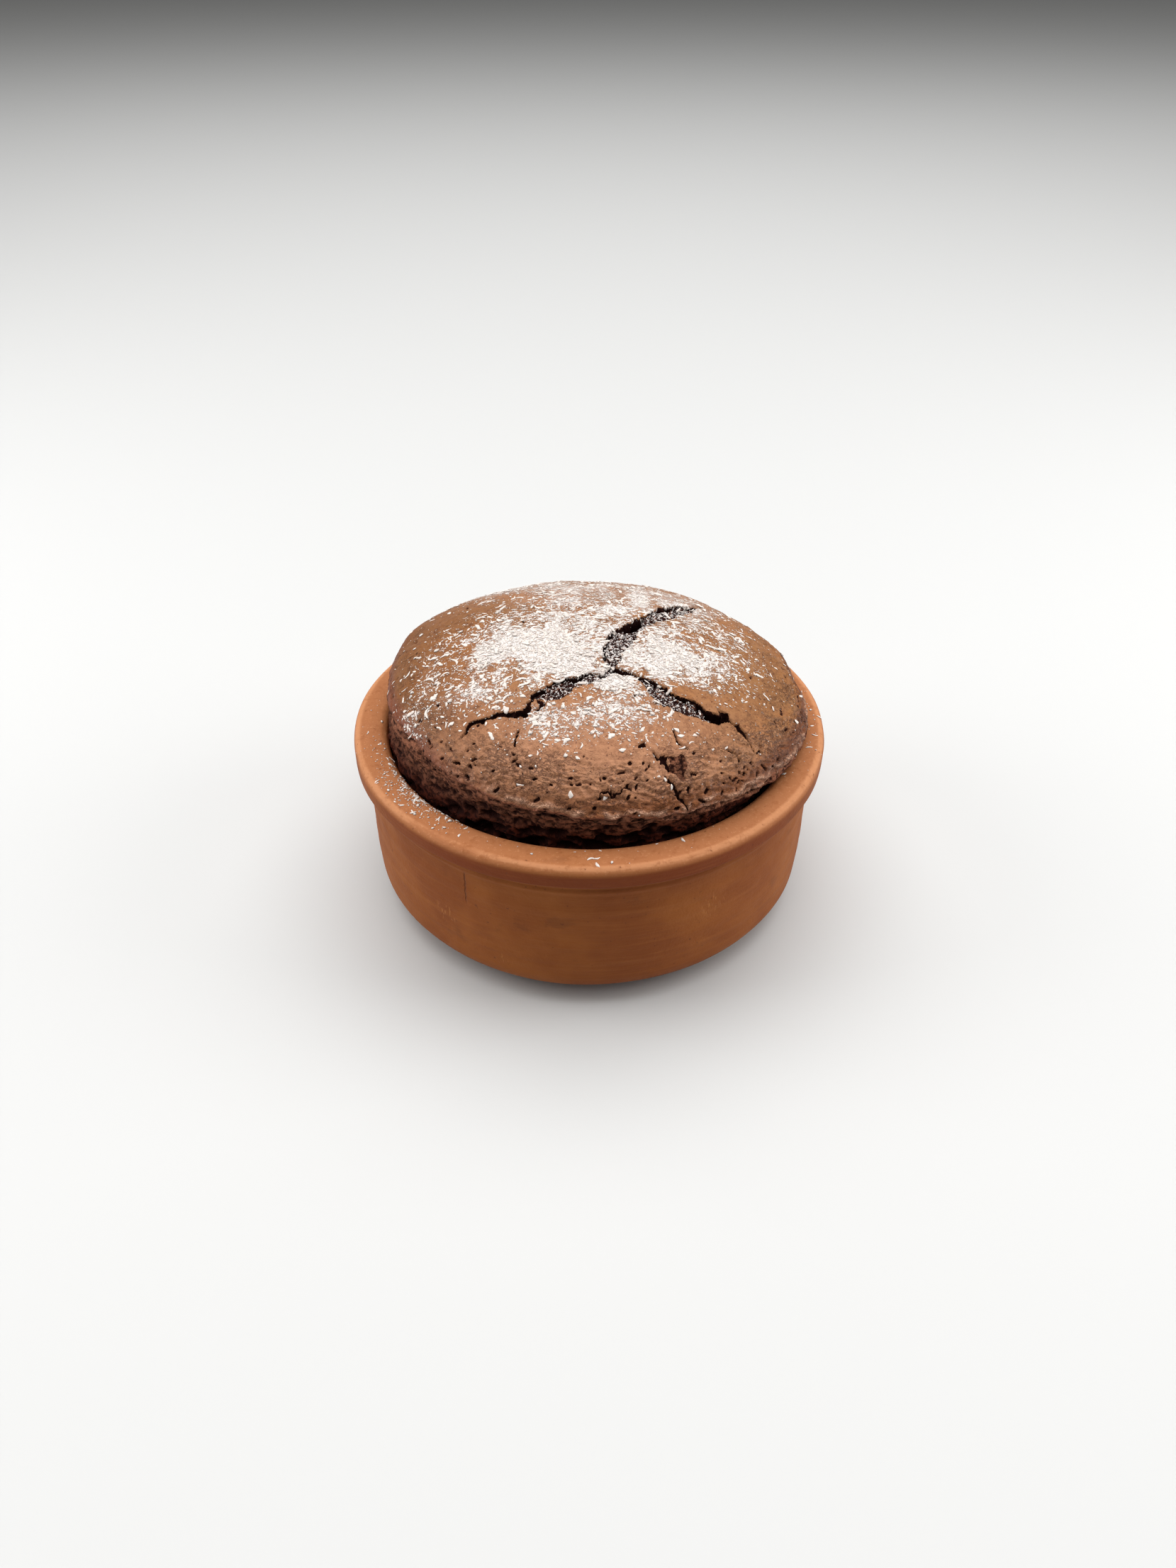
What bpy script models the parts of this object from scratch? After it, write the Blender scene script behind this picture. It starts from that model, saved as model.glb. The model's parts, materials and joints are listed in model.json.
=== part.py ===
"""A chocolate souffle, baked in a small terracotta oven dish and risen out of it.

Metres, +Z up. The origin is the middle of the dish's flat base, where it stands,
and the wide crack's junction lies towards -Y, the front.
"""

import math

import bmesh
import bpy
from mathutils import Vector, noise

MM = 0.001
SEGMENTS = 72  # around the dish and the souffle, so that their facets run side by side

# The dish: outer sizes first, then the rolled rim, then the inside.
BASE_RADIUS = 45.0 * MM
FOOT_CORNER_HEIGHT = 13.0 * MM
WALL_RADIUS = 66.1 * MM
BELLY = 0.5 * MM
COVE_RADIUS = 3.1 * MM
RIM_RADIUS = 70.0 * MM
RIM_UNDERSIDE = 49.2 * MM
RIM_EDGE_ROUND = 0.9 * MM
RIM_TOP = 55.6 * MM
RIM_ROUND = 2.8 * MM
INSIDE_RADIUS = 59.6 * MM
FLOOR_THICKNESS = 6.0 * MM
INSIDE_CORNER = 10.0 * MM

# The souffle: a tilted half ellipsoid on a side that draws in under its lip.
FOOD_GAP = 0.4 * MM
CROWN_CENTRE = Vector((2.6, 1.3)) * MM
CROWN_RADIUS = 61.4 * MM
LIP_HEIGHT = 61.0 * MM
CROWN_RISE = 23.4 * MM
TILT = Vector((-0.052, -0.034))
NECK_RADIUS = 57.2 * MM
NECK_HEIGHT = 50.0 * MM
TOUCH_HEIGHT = 38.0 * MM  # from here down the food fills the dish
LOBES = ((2, 0.45 * MM, 0.6), (3, 0.40 * MM, -1.0), (5, 0.25 * MM, 2.1))  # waves, size, phase

# The three arms of the crack, as (x, y, half width) in millimetres, from the junction out.
LEFT_ARM = (
    (5.5, -20.0, 1.2), (1.5, -22.0, 1.8), (-4.5, -24.5, 2.6), (-10.0, -28.0, 3.0),
    (-14.5, -28.5, 0.9), (-16.0, -32.0, 0.6), (-17.0, -36.5, 1.4), (-24.5, -35.0, 1.2),
    (-33.0, -38.0, 0.4),
)
BACK_ARM = (
    (6.0, -18.5, 1.1), (6.0, -13.0, 2.2), (8.5, -5.0, 3.3), (11.0, 1.5, 2.6),
    (15.0, 5.5, 1.7), (20.0, 12.5, 3.6), (25.0, 20.0, 2.8), (30.5, 27.0, 1.5),
    (33.5, 31.0, 0.5),
)
RIGHT_ARM = (
    (6.5, -19.5, 1.2), (13.0, -20.0, 0.9), (18.0, -25.0, 2.8), (22.0, -27.0, 4.0),
    (28.0, -28.5, 3.2), (33.5, -32.0, 1.6), (38.5, -30.5, 1.4), (42.0, -32.0, 0.7),
    (45.0, -34.5, 0.4),
)
CRACK_STEP = 2.5 * MM
CRACK_RAGGEDNESS = 0.6 * MM
CRACK_DEPTH = 6.0 * MM
CRACK_DEPTH_PER_WIDTH = 1.0  # a narrow stretch is shallower


def clear_scene():
    for obj in list(bpy.data.objects):
        bpy.data.objects.remove(obj, do_unlink=True)


def material(name, colour, roughness):
    """A plain material: the finish of one sub-part."""
    made = bpy.data.materials.new(name)
    made.use_nodes = True
    shader = made.node_tree.nodes["Principled BSDF"]
    shader.inputs["Base Color"].default_value = (*colour, 1.0)
    shader.inputs["Roughness"].default_value = roughness
    shader.inputs["Metallic"].default_value = 0.0
    return made


def arc(centre, radii, start, end, steps):
    """Points (r, z) on an elliptical arc, from start to end in degrees, both ends included."""
    angles = [math.radians(start + (end - start) * i / steps) for i in range(steps + 1)]
    return [
        (centre[0] + radii[0] * math.cos(a), centre[1] + radii[1] * math.sin(a)) for a in angles
    ]


def dish_profile():
    """Half section of the dish as (r, z), from the base's middle round the rim to the floor's middle."""
    points = [(0.0, 0.0)]
    foot = (BASE_RADIUS, FOOT_CORNER_HEIGHT)
    points += arc(foot, (WALL_RADIUS - BASE_RADIUS, FOOT_CORNER_HEIGHT), -90, 0, 6)
    neck_height = RIM_UNDERSIDE - COVE_RADIUS
    for share in (0.33, 0.67):
        height = FOOT_CORNER_HEIGHT + share * (neck_height - FOOT_CORNER_HEIGHT)
        points.append((WALL_RADIUS + BELLY * math.sin(math.pi * share), height))
    points += arc((WALL_RADIUS + COVE_RADIUS, neck_height), (COVE_RADIUS,) * 2, 180, 90, 3)
    edge = (RIM_RADIUS - RIM_EDGE_ROUND, RIM_UNDERSIDE + RIM_EDGE_ROUND)
    points += arc(edge, (RIM_EDGE_ROUND,) * 2, -45, 0, 1)
    outer = (RIM_RADIUS - RIM_ROUND, RIM_TOP - RIM_ROUND)
    points += arc(outer, (RIM_ROUND,) * 2, 0, 90, 4)
    inner = (INSIDE_RADIUS + RIM_ROUND, RIM_TOP - RIM_ROUND)
    points += arc(inner, (RIM_ROUND,) * 2, 90, 180, 3)
    corner = (INSIDE_RADIUS - INSIDE_CORNER, FLOOR_THICKNESS + INSIDE_CORNER)
    points += arc(corner, (INSIDE_CORNER,) * 2, 0, -90, 4)
    points.append((0.0, FLOOR_THICKNESS))
    return points


def new_object(name, mesh_builder, finish):
    """A scene object from a bmesh, with its faces pointing out and shaded smooth."""
    bmesh.ops.recalc_face_normals(mesh_builder, faces=mesh_builder.faces)
    mesh = bpy.data.meshes.new(name)
    mesh_builder.to_mesh(mesh)
    mesh_builder.free()
    obj = bpy.data.objects.new(name, mesh)
    bpy.context.scene.collection.objects.link(obj)
    if finish is not None:
        mesh.materials.append(finish)
        mesh.shade_smooth()
        mesh.set_sharp_from_angle(angle=math.radians(50))
    return obj


def turned(name, profile, finish):
    """A solid of revolution: the half section is spun once round the Z axis."""
    builder = bmesh.new()
    ring = [builder.verts.new((r, 0.0, z)) for r, z in profile]
    edges = [builder.edges.new(pair) for pair in zip(ring, ring[1:])]
    bmesh.ops.spin(
        builder, geom=ring + edges, cent=(0, 0, 0), axis=(0, 0, 1),
        angle=math.tau, steps=SEGMENTS, use_merge=True,
    )
    bmesh.ops.remove_doubles(builder, verts=builder.verts, dist=0.01 * MM)
    return new_object(name, builder, finish)


def crown_radius(angle):
    return CROWN_RADIUS + sum(size * math.cos(waves * angle + phase) for waves, size, phase in LOBES)


def tilt_at(offset):
    return TILT.dot(offset)


def crown_height(x, y):
    """Height of the crown's skin above the plan point (x, y)."""
    offset = Vector((x, y)) - CROWN_CENTRE
    share = min(offset.length / crown_radius(math.atan2(offset.y, offset.x)), 1.0)
    return LIP_HEIGHT + CROWN_RISE * math.sqrt(1 - share**2) + tilt_at(offset)


def crown_point(turn, angle):
    """A point of the crown: turn is 0 at its top and 90 degrees at its lip."""
    out = Vector((math.cos(angle), math.sin(angle)))
    offset = out * crown_radius(angle) * math.sin(turn)
    height = LIP_HEIGHT + CROWN_RISE * math.cos(turn) + tilt_at(offset)
    plan = CROWN_CENTRE + offset
    return Vector((plan.x, plan.y, height))


def side_point(turn, angle):
    """A point between the lip, at turn 0, and the neck inside the rim, at 90 degrees."""
    lip = crown_point(math.pi / 2, angle)
    neck = Vector((math.cos(angle) * NECK_RADIUS, math.sin(angle) * NECK_RADIUS, NECK_HEIGHT))
    inward = math.sin(turn)
    upward = math.cos(turn)
    return Vector((
        neck.x + (lip.x - neck.x) * (1 - inward),
        neck.y + (lip.y - neck.y) * (1 - inward),
        neck.z + (lip.z - neck.z) * upward,
    ))


def turned_point(point, angle):
    return Vector((point[0] * math.cos(angle), point[0] * math.sin(angle), point[1]))


def souffle_rings():
    """Functions of the angle, one for each ring of the souffle from its top to its floor."""
    crown_turns = [8, 17, 26, 35, 44, 53, 62, 70, 77, 83, 87, 90]
    side_turns = [15, 35, 60, 90]
    touching = INSIDE_RADIUS - FOOD_GAP
    corner = (INSIDE_RADIUS - INSIDE_CORNER, FLOOR_THICKNESS + INSIDE_CORNER)
    inside = [(NECK_RADIUS + 0.3 * MM, NECK_HEIGHT - 4 * MM), (touching, TOUCH_HEIGHT)]
    inside += arc(corner, (INSIDE_CORNER - FOOD_GAP,) * 2, 0, -90, 4)
    rings = [lambda a, t=math.radians(turn): crown_point(t, a) for turn in crown_turns]
    rings += [lambda a, t=math.radians(turn): side_point(t, a) for turn in side_turns]
    rings += [lambda a, p=point: turned_point(p, a) for point in inside]
    return rings


def whole_souffle(name, finish):
    """The uncracked souffle: rings of points joined by faces, with a point at the top and the bottom."""
    builder = bmesh.new()
    angles = [math.tau * i / SEGMENTS for i in range(SEGMENTS)]
    top = builder.verts.new(crown_point(0.0, 0.0))
    bottom = builder.verts.new((0.0, 0.0, FLOOR_THICKNESS + FOOD_GAP))
    rings = [[builder.verts.new(ring(a)) for a in angles] for ring in souffle_rings()]
    for i in range(SEGMENTS):
        j = (i + 1) % SEGMENTS
        builder.faces.new((top, rings[0][i], rings[0][j]))
        for upper, lower in zip(rings, rings[1:]):
            builder.faces.new((upper[i], lower[i], lower[j], upper[j]))
        builder.faces.new((rings[-1][i], bottom, rings[-1][j]))
    return new_object(name, builder, finish)


def crack_path(knots, seed):
    """Points (plan position, half width) every CRACK_STEP along the knots, shifted a little from side to side."""
    path = []
    for start, end in zip(knots, knots[1:]):
        a, b = Vector(start) * MM, Vector(end) * MM
        steps = max(1, round((b - a).xy.length / CRACK_STEP))
        path += [a.lerp(b, i / steps) for i in range(steps)]
    path.append(Vector(knots[-1]) * MM)
    ragged = []
    for i, point in enumerate(path):
        ahead, behind = path[min(i + 1, len(path) - 1)], path[max(i - 1, 0)]
        across = (ahead - behind).xy.orthogonal().normalized()
        shift = CRACK_RAGGEDNESS * noise.noise(Vector((i * 0.9, seed, 0.0)))
        ragged.append((point.xy + across * shift, across, point.z))
    return ragged


def crack_cutter(name, knots, seed, far_side):
    """A long wedge along one arm. Its steep side is under the lifted plate, on far_side, and the other slopes."""
    builder = bmesh.new()
    sections = []
    for centre, across, half_width in crack_path(knots, seed):
        away = across if across.dot(far_side) > 0 else -across
        near, far = centre - away * half_width, centre + away * half_width
        low = min(CRACK_DEPTH, 1.2 * MM + 2 * half_width * CRACK_DEPTH_PER_WIDTH)
        skin = crown_height(*centre)
        corners = (
            (near, skin + 2 * MM), (far, skin + 2 * MM),
            (far, skin - low), (near.lerp(far, 0.25), skin - 0.5 * low),
        )
        sections.append([builder.verts.new((p.x, p.y, z)) for p, z in corners])
    for one, two in zip(sections, sections[1:]):
        for i in range(4):
            j = (i + 1) % 4
            builder.faces.new((one[i], one[j], two[j], two[i]))
    builder.faces.new(sections[0])
    builder.faces.new(sections[-1])
    cutter = new_object(name, builder, None)
    cutter.hide_render = True
    cutter.display_type = "WIRE"
    return cutter


def cut(obj, cutter):
    modifier = obj.modifiers.new(cutter.name, "BOOLEAN")
    modifier.operation = "DIFFERENCE"
    modifier.solver = "EXACT"
    modifier.object = cutter


def main():
    clear_scene()
    turned("dish", dish_profile(), material("terracotta", (0.42, 0.17, 0.08), 0.75))
    souffle = whole_souffle("souffle", material("chocolate_crust", (0.20, 0.09, 0.05), 0.7))
    cut(souffle, crack_cutter("left_crack", LEFT_ARM, 1.0, Vector((0, 1))))
    cut(souffle, crack_cutter("back_crack", BACK_ARM, 2.0, Vector((-1, 0.5))))
    cut(souffle, crack_cutter("right_crack", RIGHT_ARM, 3.0, Vector((0.3, 1))))


main()
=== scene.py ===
# %% [markdown]
# # A chocolate souffle in its terracotta dish
#
# The frame holds two plain solids at their real size: the dish, and the souffle that has risen out
# of it. This file makes both again with the surfaces of turned clay and baked chocolate, strews the
# white topping over them, and sets up a pale table, soft light and a camera. Lengths are in
# millimetres until a mesh is made, where MM turns them into metres.

import itertools
import json
import math

import bpy
import numpy as np
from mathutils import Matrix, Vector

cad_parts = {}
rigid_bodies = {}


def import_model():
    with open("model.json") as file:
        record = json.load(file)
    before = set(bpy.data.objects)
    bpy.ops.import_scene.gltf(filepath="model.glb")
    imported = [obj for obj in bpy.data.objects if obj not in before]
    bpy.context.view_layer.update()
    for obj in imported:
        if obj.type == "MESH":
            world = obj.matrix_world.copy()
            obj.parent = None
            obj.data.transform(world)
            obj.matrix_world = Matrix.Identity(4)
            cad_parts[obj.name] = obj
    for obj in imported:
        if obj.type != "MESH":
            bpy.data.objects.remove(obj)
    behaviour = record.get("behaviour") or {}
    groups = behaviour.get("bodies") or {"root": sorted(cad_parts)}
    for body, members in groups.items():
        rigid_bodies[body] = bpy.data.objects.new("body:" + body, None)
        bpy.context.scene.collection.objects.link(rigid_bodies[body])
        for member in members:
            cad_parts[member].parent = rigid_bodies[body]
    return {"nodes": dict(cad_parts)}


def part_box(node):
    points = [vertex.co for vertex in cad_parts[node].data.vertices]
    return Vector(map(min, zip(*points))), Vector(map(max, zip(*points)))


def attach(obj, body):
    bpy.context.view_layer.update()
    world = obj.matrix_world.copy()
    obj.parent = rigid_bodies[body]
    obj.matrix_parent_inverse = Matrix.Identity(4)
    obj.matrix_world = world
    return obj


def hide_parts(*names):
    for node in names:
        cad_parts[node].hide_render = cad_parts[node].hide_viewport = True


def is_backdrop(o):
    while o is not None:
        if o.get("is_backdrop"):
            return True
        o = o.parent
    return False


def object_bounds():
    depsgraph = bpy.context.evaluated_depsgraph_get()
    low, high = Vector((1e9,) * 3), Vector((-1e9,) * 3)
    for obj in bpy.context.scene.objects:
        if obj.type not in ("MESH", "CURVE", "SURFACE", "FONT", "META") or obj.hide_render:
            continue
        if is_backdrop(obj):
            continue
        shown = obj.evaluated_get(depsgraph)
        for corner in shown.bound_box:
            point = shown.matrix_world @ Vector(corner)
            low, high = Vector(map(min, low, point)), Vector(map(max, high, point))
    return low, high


MM = 0.001

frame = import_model()
cad_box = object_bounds()
for node in frame["nodes"]:
    low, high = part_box(node)
    print(node, "spans", [round(value / MM, 1) for value in (*low, *high)], "mm")

# %% [markdown]
# ## Camera
#
# Food is mostly seen by someone who stands at the table. The camera stands 30 cm in front of the
# dish and 26 cm above the table, turned 38 degrees down, with a slightly wide lens.

# %% Camera
CAMERA_PLACE = (-0.3, -297.5, 261.8)
CAMERA_DOWN = math.radians(38.02)
LENS = 27.67


def add_object(name, data):
    """A new object of the scene."""
    made = bpy.data.objects.new(name, data)
    bpy.context.scene.collection.objects.link(made)
    return made


camera_data = bpy.data.cameras.new("camera")
camera_data.lens = LENS
camera_data.sensor_width = 36.0
camera = add_object("camera", camera_data)
camera.location = [value * MM for value in CAMERA_PLACE]
camera.rotation_euler = (math.pi / 2 - CAMERA_DOWN, 0.0, 0.0)
bpy.context.scene.camera = camera
print("the camera looks down by", round(math.degrees(CAMERA_DOWN), 1), "degrees")

# %% [markdown]
# ## A small language for node trees
#
# A node tree written call by call is hard to read. Two small classes help: a Signal is one socket
# that Python's own operators work on, so that `1 - mask * 0.5` adds the Math nodes, and a Graph adds
# any other node with one method, which takes the node's type, its settings, and the values or links
# of its sockets. They serve materials and Geometry Nodes alike.

# %% Signals and graphs
def operator(operation, reflected=False):
    """What a Signal does for one of Python's operators: it adds a Math node."""

    def add_node(signal, other):
        pair = (other, signal) if reflected else (signal, other)
        return signal.graph.node("ShaderNodeMath", dict(enumerate(pair)), operation=operation)

    return add_node


class Signal:
    """One output socket. Arithmetic on it adds Math nodes to its tree."""

    __add__, __radd__ = operator("ADD"), operator("ADD", True)
    __sub__, __rsub__ = operator("SUBTRACT"), operator("SUBTRACT", True)
    __mul__, __rmul__ = operator("MULTIPLY"), operator("MULTIPLY", True)
    __truediv__, __pow__ = operator("DIVIDE"), operator("POWER")

    def __init__(self, graph, socket):
        self.graph = graph
        self.socket = socket

    def output(self, name):
        return Signal(self.graph, self.socket.node.outputs[name])

    def math(self, operation, *others):
        sockets = dict(enumerate((self, *others)))
        return self.graph.node("ShaderNodeMath", sockets, operation=operation)

    def ramp(self, start, end):
        """0 at start, 1 at end, and an eased way between; start may be the larger."""
        sockets = {"Value": self, "From Min": start, "From Max": end}
        return self.graph.node("ShaderNodeMapRange", sockets, interpolation_type="SMOOTHSTEP")


class Graph:
    """A node tree that is being written."""

    def __init__(self, tree):
        self.tree = tree

    def node(self, kind, sockets=None, out=0, **settings):
        made = self.tree.nodes.new(kind)
        for name, value in settings.items():
            setattr(made, name, value)
        for key, value in (sockets or {}).items():
            self.feed(made.inputs[key], value)
        return Signal(self, made.outputs[out]) if made.outputs else None

    def feed(self, socket, value):
        if isinstance(value, Signal):
            self.tree.links.new(value.socket, socket)
        else:
            socket.default_value = value

    def axes(self, place):
        """The three coordinates of a place."""
        split = self.node("ShaderNodeSeparateXYZ", {0: place})
        return [split.output(axis) for axis in "XYZ"]

    def place(self, *axes):
        """A place from its coordinates."""
        return self.node("ShaderNodeCombineXYZ", dict(enumerate(axes)))

    def coats(self, ground, *coats):
        """The ground colour under coats of (mask, colour), each laid over the one before."""
        for mask, colour in coats:
            ground = self.node("ShaderNodeMix", {0: mask, 6: ground, 7: colour}, 2, data_type="RGBA")
        return ground


print("a Signal and a Graph are ready to write node trees")

# %% [markdown]
# ## Roughness from repeatable noise
#
# Baked and hand-turned surfaces are never even. Sculpting every bump would take days, so smooth
# random hills do it: a random number at each corner of a grid of cells, and an eased blend between
# them. The numbers come from the corner's own place, so each run gives the same surface. Cell noise
# is its partner: the distance to the nearest of many scattered points gives pores and lumps.

# %% Noise
def corner_number(corner, seed):
    """A repeatable random number from 0 to 1 for each whole-number corner (x, y, z)."""
    whole = corner.astype(np.int64)
    mixed = whole[..., 0] * 73856093 ^ whole[..., 1] * 19349663 ^ whole[..., 2] * 83492791
    mixed = (mixed ^ (seed * 2654435761)) & 0xFFFFFFFF
    for _ in range(2):
        mixed = ((mixed ^ (mixed >> 15)) * 739982445) & 0xFFFFFFFF
    return (mixed ^ (mixed >> 12)) % 1048576 / 1048576


def hills(points, seed):
    """Smooth random hills from -1 to 1, about one unit wide."""
    base = np.floor(points)
    part = points - base
    ease = part * part * (3 - 2 * part)
    total = np.zeros(points.shape[:-1])
    for corner in itertools.product((0, 1), repeat=3):
        weight = np.prod(np.where(corner, ease, 1 - ease), axis=-1)
        total += weight * corner_number(base + np.array(corner), seed)
    return 2 * total - 1


def rough_hills(points, seed, layers):
    """Hills with finer hills on them, each layer half as wide and half as high."""
    return sum(hills(points * 2**i, seed + i) / 2**i for i in range(layers))


def nearest_seed(points, seed):
    """Distance to the nearest of the random points that lie one in each unit cell."""
    base = np.floor(points)
    nearest = np.full(points.shape[:-1], 9.0)
    for step in itertools.product((-1, 0, 1), repeat=3):
        cell = base + np.array(step)
        inside = np.stack([corner_number(cell, seed + axis) for axis in range(3)], axis=-1)
        nearest = np.minimum(nearest, np.linalg.norm(cell + inside - points, axis=-1))
    return nearest


def smooth(value, start, end):
    """0 at start, 1 at end, and an eased way between; start may be the larger."""
    share = np.clip((value - start) / (end - start), 0, 1)
    return share * share * (3 - 2 * share)


def bell(value, middle, reach):
    """1 at the middle, falling off on both sides."""
    return np.exp(-(((value - middle) / reach) ** 2))


def spots(*axes):
    """Points from their coordinates, each an array or one number for all the points."""
    return np.stack(np.broadcast_arrays(*axes), axis=-1)


def flat(plan):
    """Plan points as points of space at height 0, for the noise."""
    return spots(plan[:, 0], plan[:, 1], 0.0)


sample = np.random.default_rng(1).uniform(0, 50, (20000, 3))
print("hills lie between", hills(sample, 3).min().round(2), "and", hills(sample, 3).max().round(2))

# %% [markdown]
# ## Meshes from arrays
#
# The fine surfaces have tens of thousands of points, so they are numpy arrays, where one line moves
# them all. A mesh carries extra numbers for each point, such as how much dust lies there, which the
# materials and the scattering read by name. A number that it doesn't carry reads as 0.

# %% Mesh helpers
def mesh_object(name, points, faces, numbers=None):
    """A smooth mesh object from points in millimetres, with named numbers for each point."""
    mesh = bpy.data.meshes.new(name)
    mesh.from_pydata((points * MM).tolist(), [], faces)
    for key, values in (numbers or {}).items():
        layer = mesh.attributes.new(key, "FLOAT", "POINT")
        layer.data.foreach_set("value", np.asarray(values, dtype=np.float32))
    mesh.shade_smooth()
    return add_object(name, mesh)


def triangles(obj):
    return sum(len(face.vertices) - 2 for face in obj.data.polygons)


def grid_quads(number):
    """The quads between the rows and columns of a table of point numbers."""
    corners = (number[:-1, :-1], number[:-1, 1:], number[1:, 1:], number[1:, :-1])
    return np.stack([corner.ravel() for corner in corners], axis=1)


def ring_quads(number):
    """The quads between rings of point numbers, one ring in each row and the lower rings later."""
    return grid_quads(np.column_stack([number, number[:, 0]]))[:, [0, 3, 2, 1]]


def fan(ring, middle):
    """Triangles from a ring of point numbers to the point in its middle."""
    return [(int(here), middle, int(there)) for here, there in zip(ring, np.roll(ring, -1))]


def normals_of(points, quads):
    """The direction straight out of the surface at each point of a mesh of quads."""
    corners = [points[quads[:, k]] for k in range(4)]
    outward = np.cross(corners[2] - corners[0], corners[3] - corners[1])
    total = np.zeros_like(points)
    for corner in range(4):
        for axis in range(3):
            total[:, axis] += np.bincount(quads[:, corner], outward[:, axis], len(points))
    return total / np.linalg.norm(total, axis=1, keepdims=True)


print("mesh helpers ready")

# %% [markdown]
# ## The shape of the souffle
#
# The risen top is a slightly tilted half ellipsoid, and under its lip the side draws in to a neck
# inside the rim. These are the solid's own sizes, so the fine surface lies on it. Each point has a
# turn, 0 at the top and a quarter turn at the lip, and an angle round the dish.

# %% Crown and side
CROWN_CENTRE = np.array((2.6, 1.3))
CROWN_RADIUS = 61.4
LIP_HEIGHT = 61.0
CROWN_RISE = 23.4
TILT = np.array((-0.052, -0.034))
NECK_RADIUS = 57.2
NECK_HEIGHT = 50.0
LOBES = ((2, 0.45, 0.6), (3, 0.40, -1.0), (5, 0.25, 2.1))  # waves, size, phase
QUARTER = math.pi / 2


def crown_points(turn, angle):
    """Points of the crown, one for each pair of turn and angle."""
    radius = CROWN_RADIUS + sum(size * np.cos(waves * angle + phase) for waves, size, phase in LOBES)
    offset = spots(np.cos(angle), np.sin(angle)) * (radius * np.sin(turn))[..., None]
    height = LIP_HEIGHT + CROWN_RISE * np.cos(turn) + offset @ TILT
    return np.concatenate([CROWN_CENTRE + offset, height[..., None]], axis=-1)


def side_points(turn, angle):
    """Points between the lip, at turn 0, and the neck, at a quarter turn."""
    lip = crown_points(QUARTER, angle)
    neck = spots(np.cos(angle) * NECK_RADIUS, np.sin(angle) * NECK_RADIUS, NECK_HEIGHT)
    inward, upward = 1 - np.sin(turn), np.cos(turn)
    return neck + (lip - neck) * spots(inward, inward, upward)


def skin_length(turn):
    """Length along the skin from the top down to a turn."""
    return np.interp(turn, turn_table, length_table)


turn_table = np.linspace(0, QUARTER, 400)
strides = np.diff(crown_points(turn_table, np.zeros(400)), axis=0)
length_table = np.concatenate([[0], np.cumsum(np.linalg.norm(strides, axis=1))])
print("from the top to the lip the skin is", length_table[-1].round(1), "mm long")

# %% [markdown]
# ## The crack
#
# As the middle rises last, it tears the set skin into three plates. Each arm of the tear is a line of
# knots with a half width, and the wide arms also say which share of the width stays an open, black
# gap. Across an arm one plate is lifted, with the gap under its ragged edge, and from the other plate
# the torn crumb slopes down. A cut with a knife-like solid would leave clean edges, so the skin's own
# points are moved by their distance to the lines, which noise bends so that no edge is straight.

# %% Crack arms
LEFT_ARM = (  # x, y, half width, open share
    (5.5, -19.8, 0.9, 0.1), (3.0, -22.6, 0.8, 0.2), (0.0, -22.6, 2.0, 0.15), (-2.8, -24.0, 2.2, 0.5),
    (-6.2, -26.0, 3.1, 0.02), (-8.8, -28.2, 3.1, 0.05), (-12.0, -29.3, 2.5, 0.4), (-14.4, -29.6, 1.3, 0.4),
)
BACK_ARM = (
    (6.0, -19.1, 0.8, 0.3), (6.2, -14.2, 2.0, 0.3), (6.6, -9.8, 3.4, 0.02), (8.9, -4.8, 3.8, 0.02),
    (11.2, -0.5, 3.4, 0.15), (13.6, 4.8, 2.4, 0.9), (16.6, 8.0, 1.6, 0.3), (18.4, 10.5, 2.6, 0.02),
    (22.0, 15.0, 3.6, 0.02), (25.4, 19.6, 3.0, 0.25), (29.8, 24.0, 1.5, 0.5), (33.8, 29.4, 0.3, 1.0),
)
RIGHT_ARM = (
    (6.6, -19.7, 0.9, 0.7), (10.7, -19.1, 0.7, 1.0), (13.4, -20.5, 0.6, 0.7), (15.6, -22.4, 1.2, 0.3),
    (17.8, -25.2, 2.3, 0.1), (20.6, -28.0, 3.2, 0.05), (24.0, -29.6, 3.3, 0.12), (27.6, -30.4, 2.6, 0.05),
    (30.6, -31.8, 1.7, 0.6), (33.6, -32.0, 1.6, 1.0), (37.0, -31.2, 1.2, 1.0),
)
WIDE_ARMS = ((LEFT_ARM, -1), (BACK_ARM, 1), (RIGHT_ARM, 1))  # knots, side of the lifted plate
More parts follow.
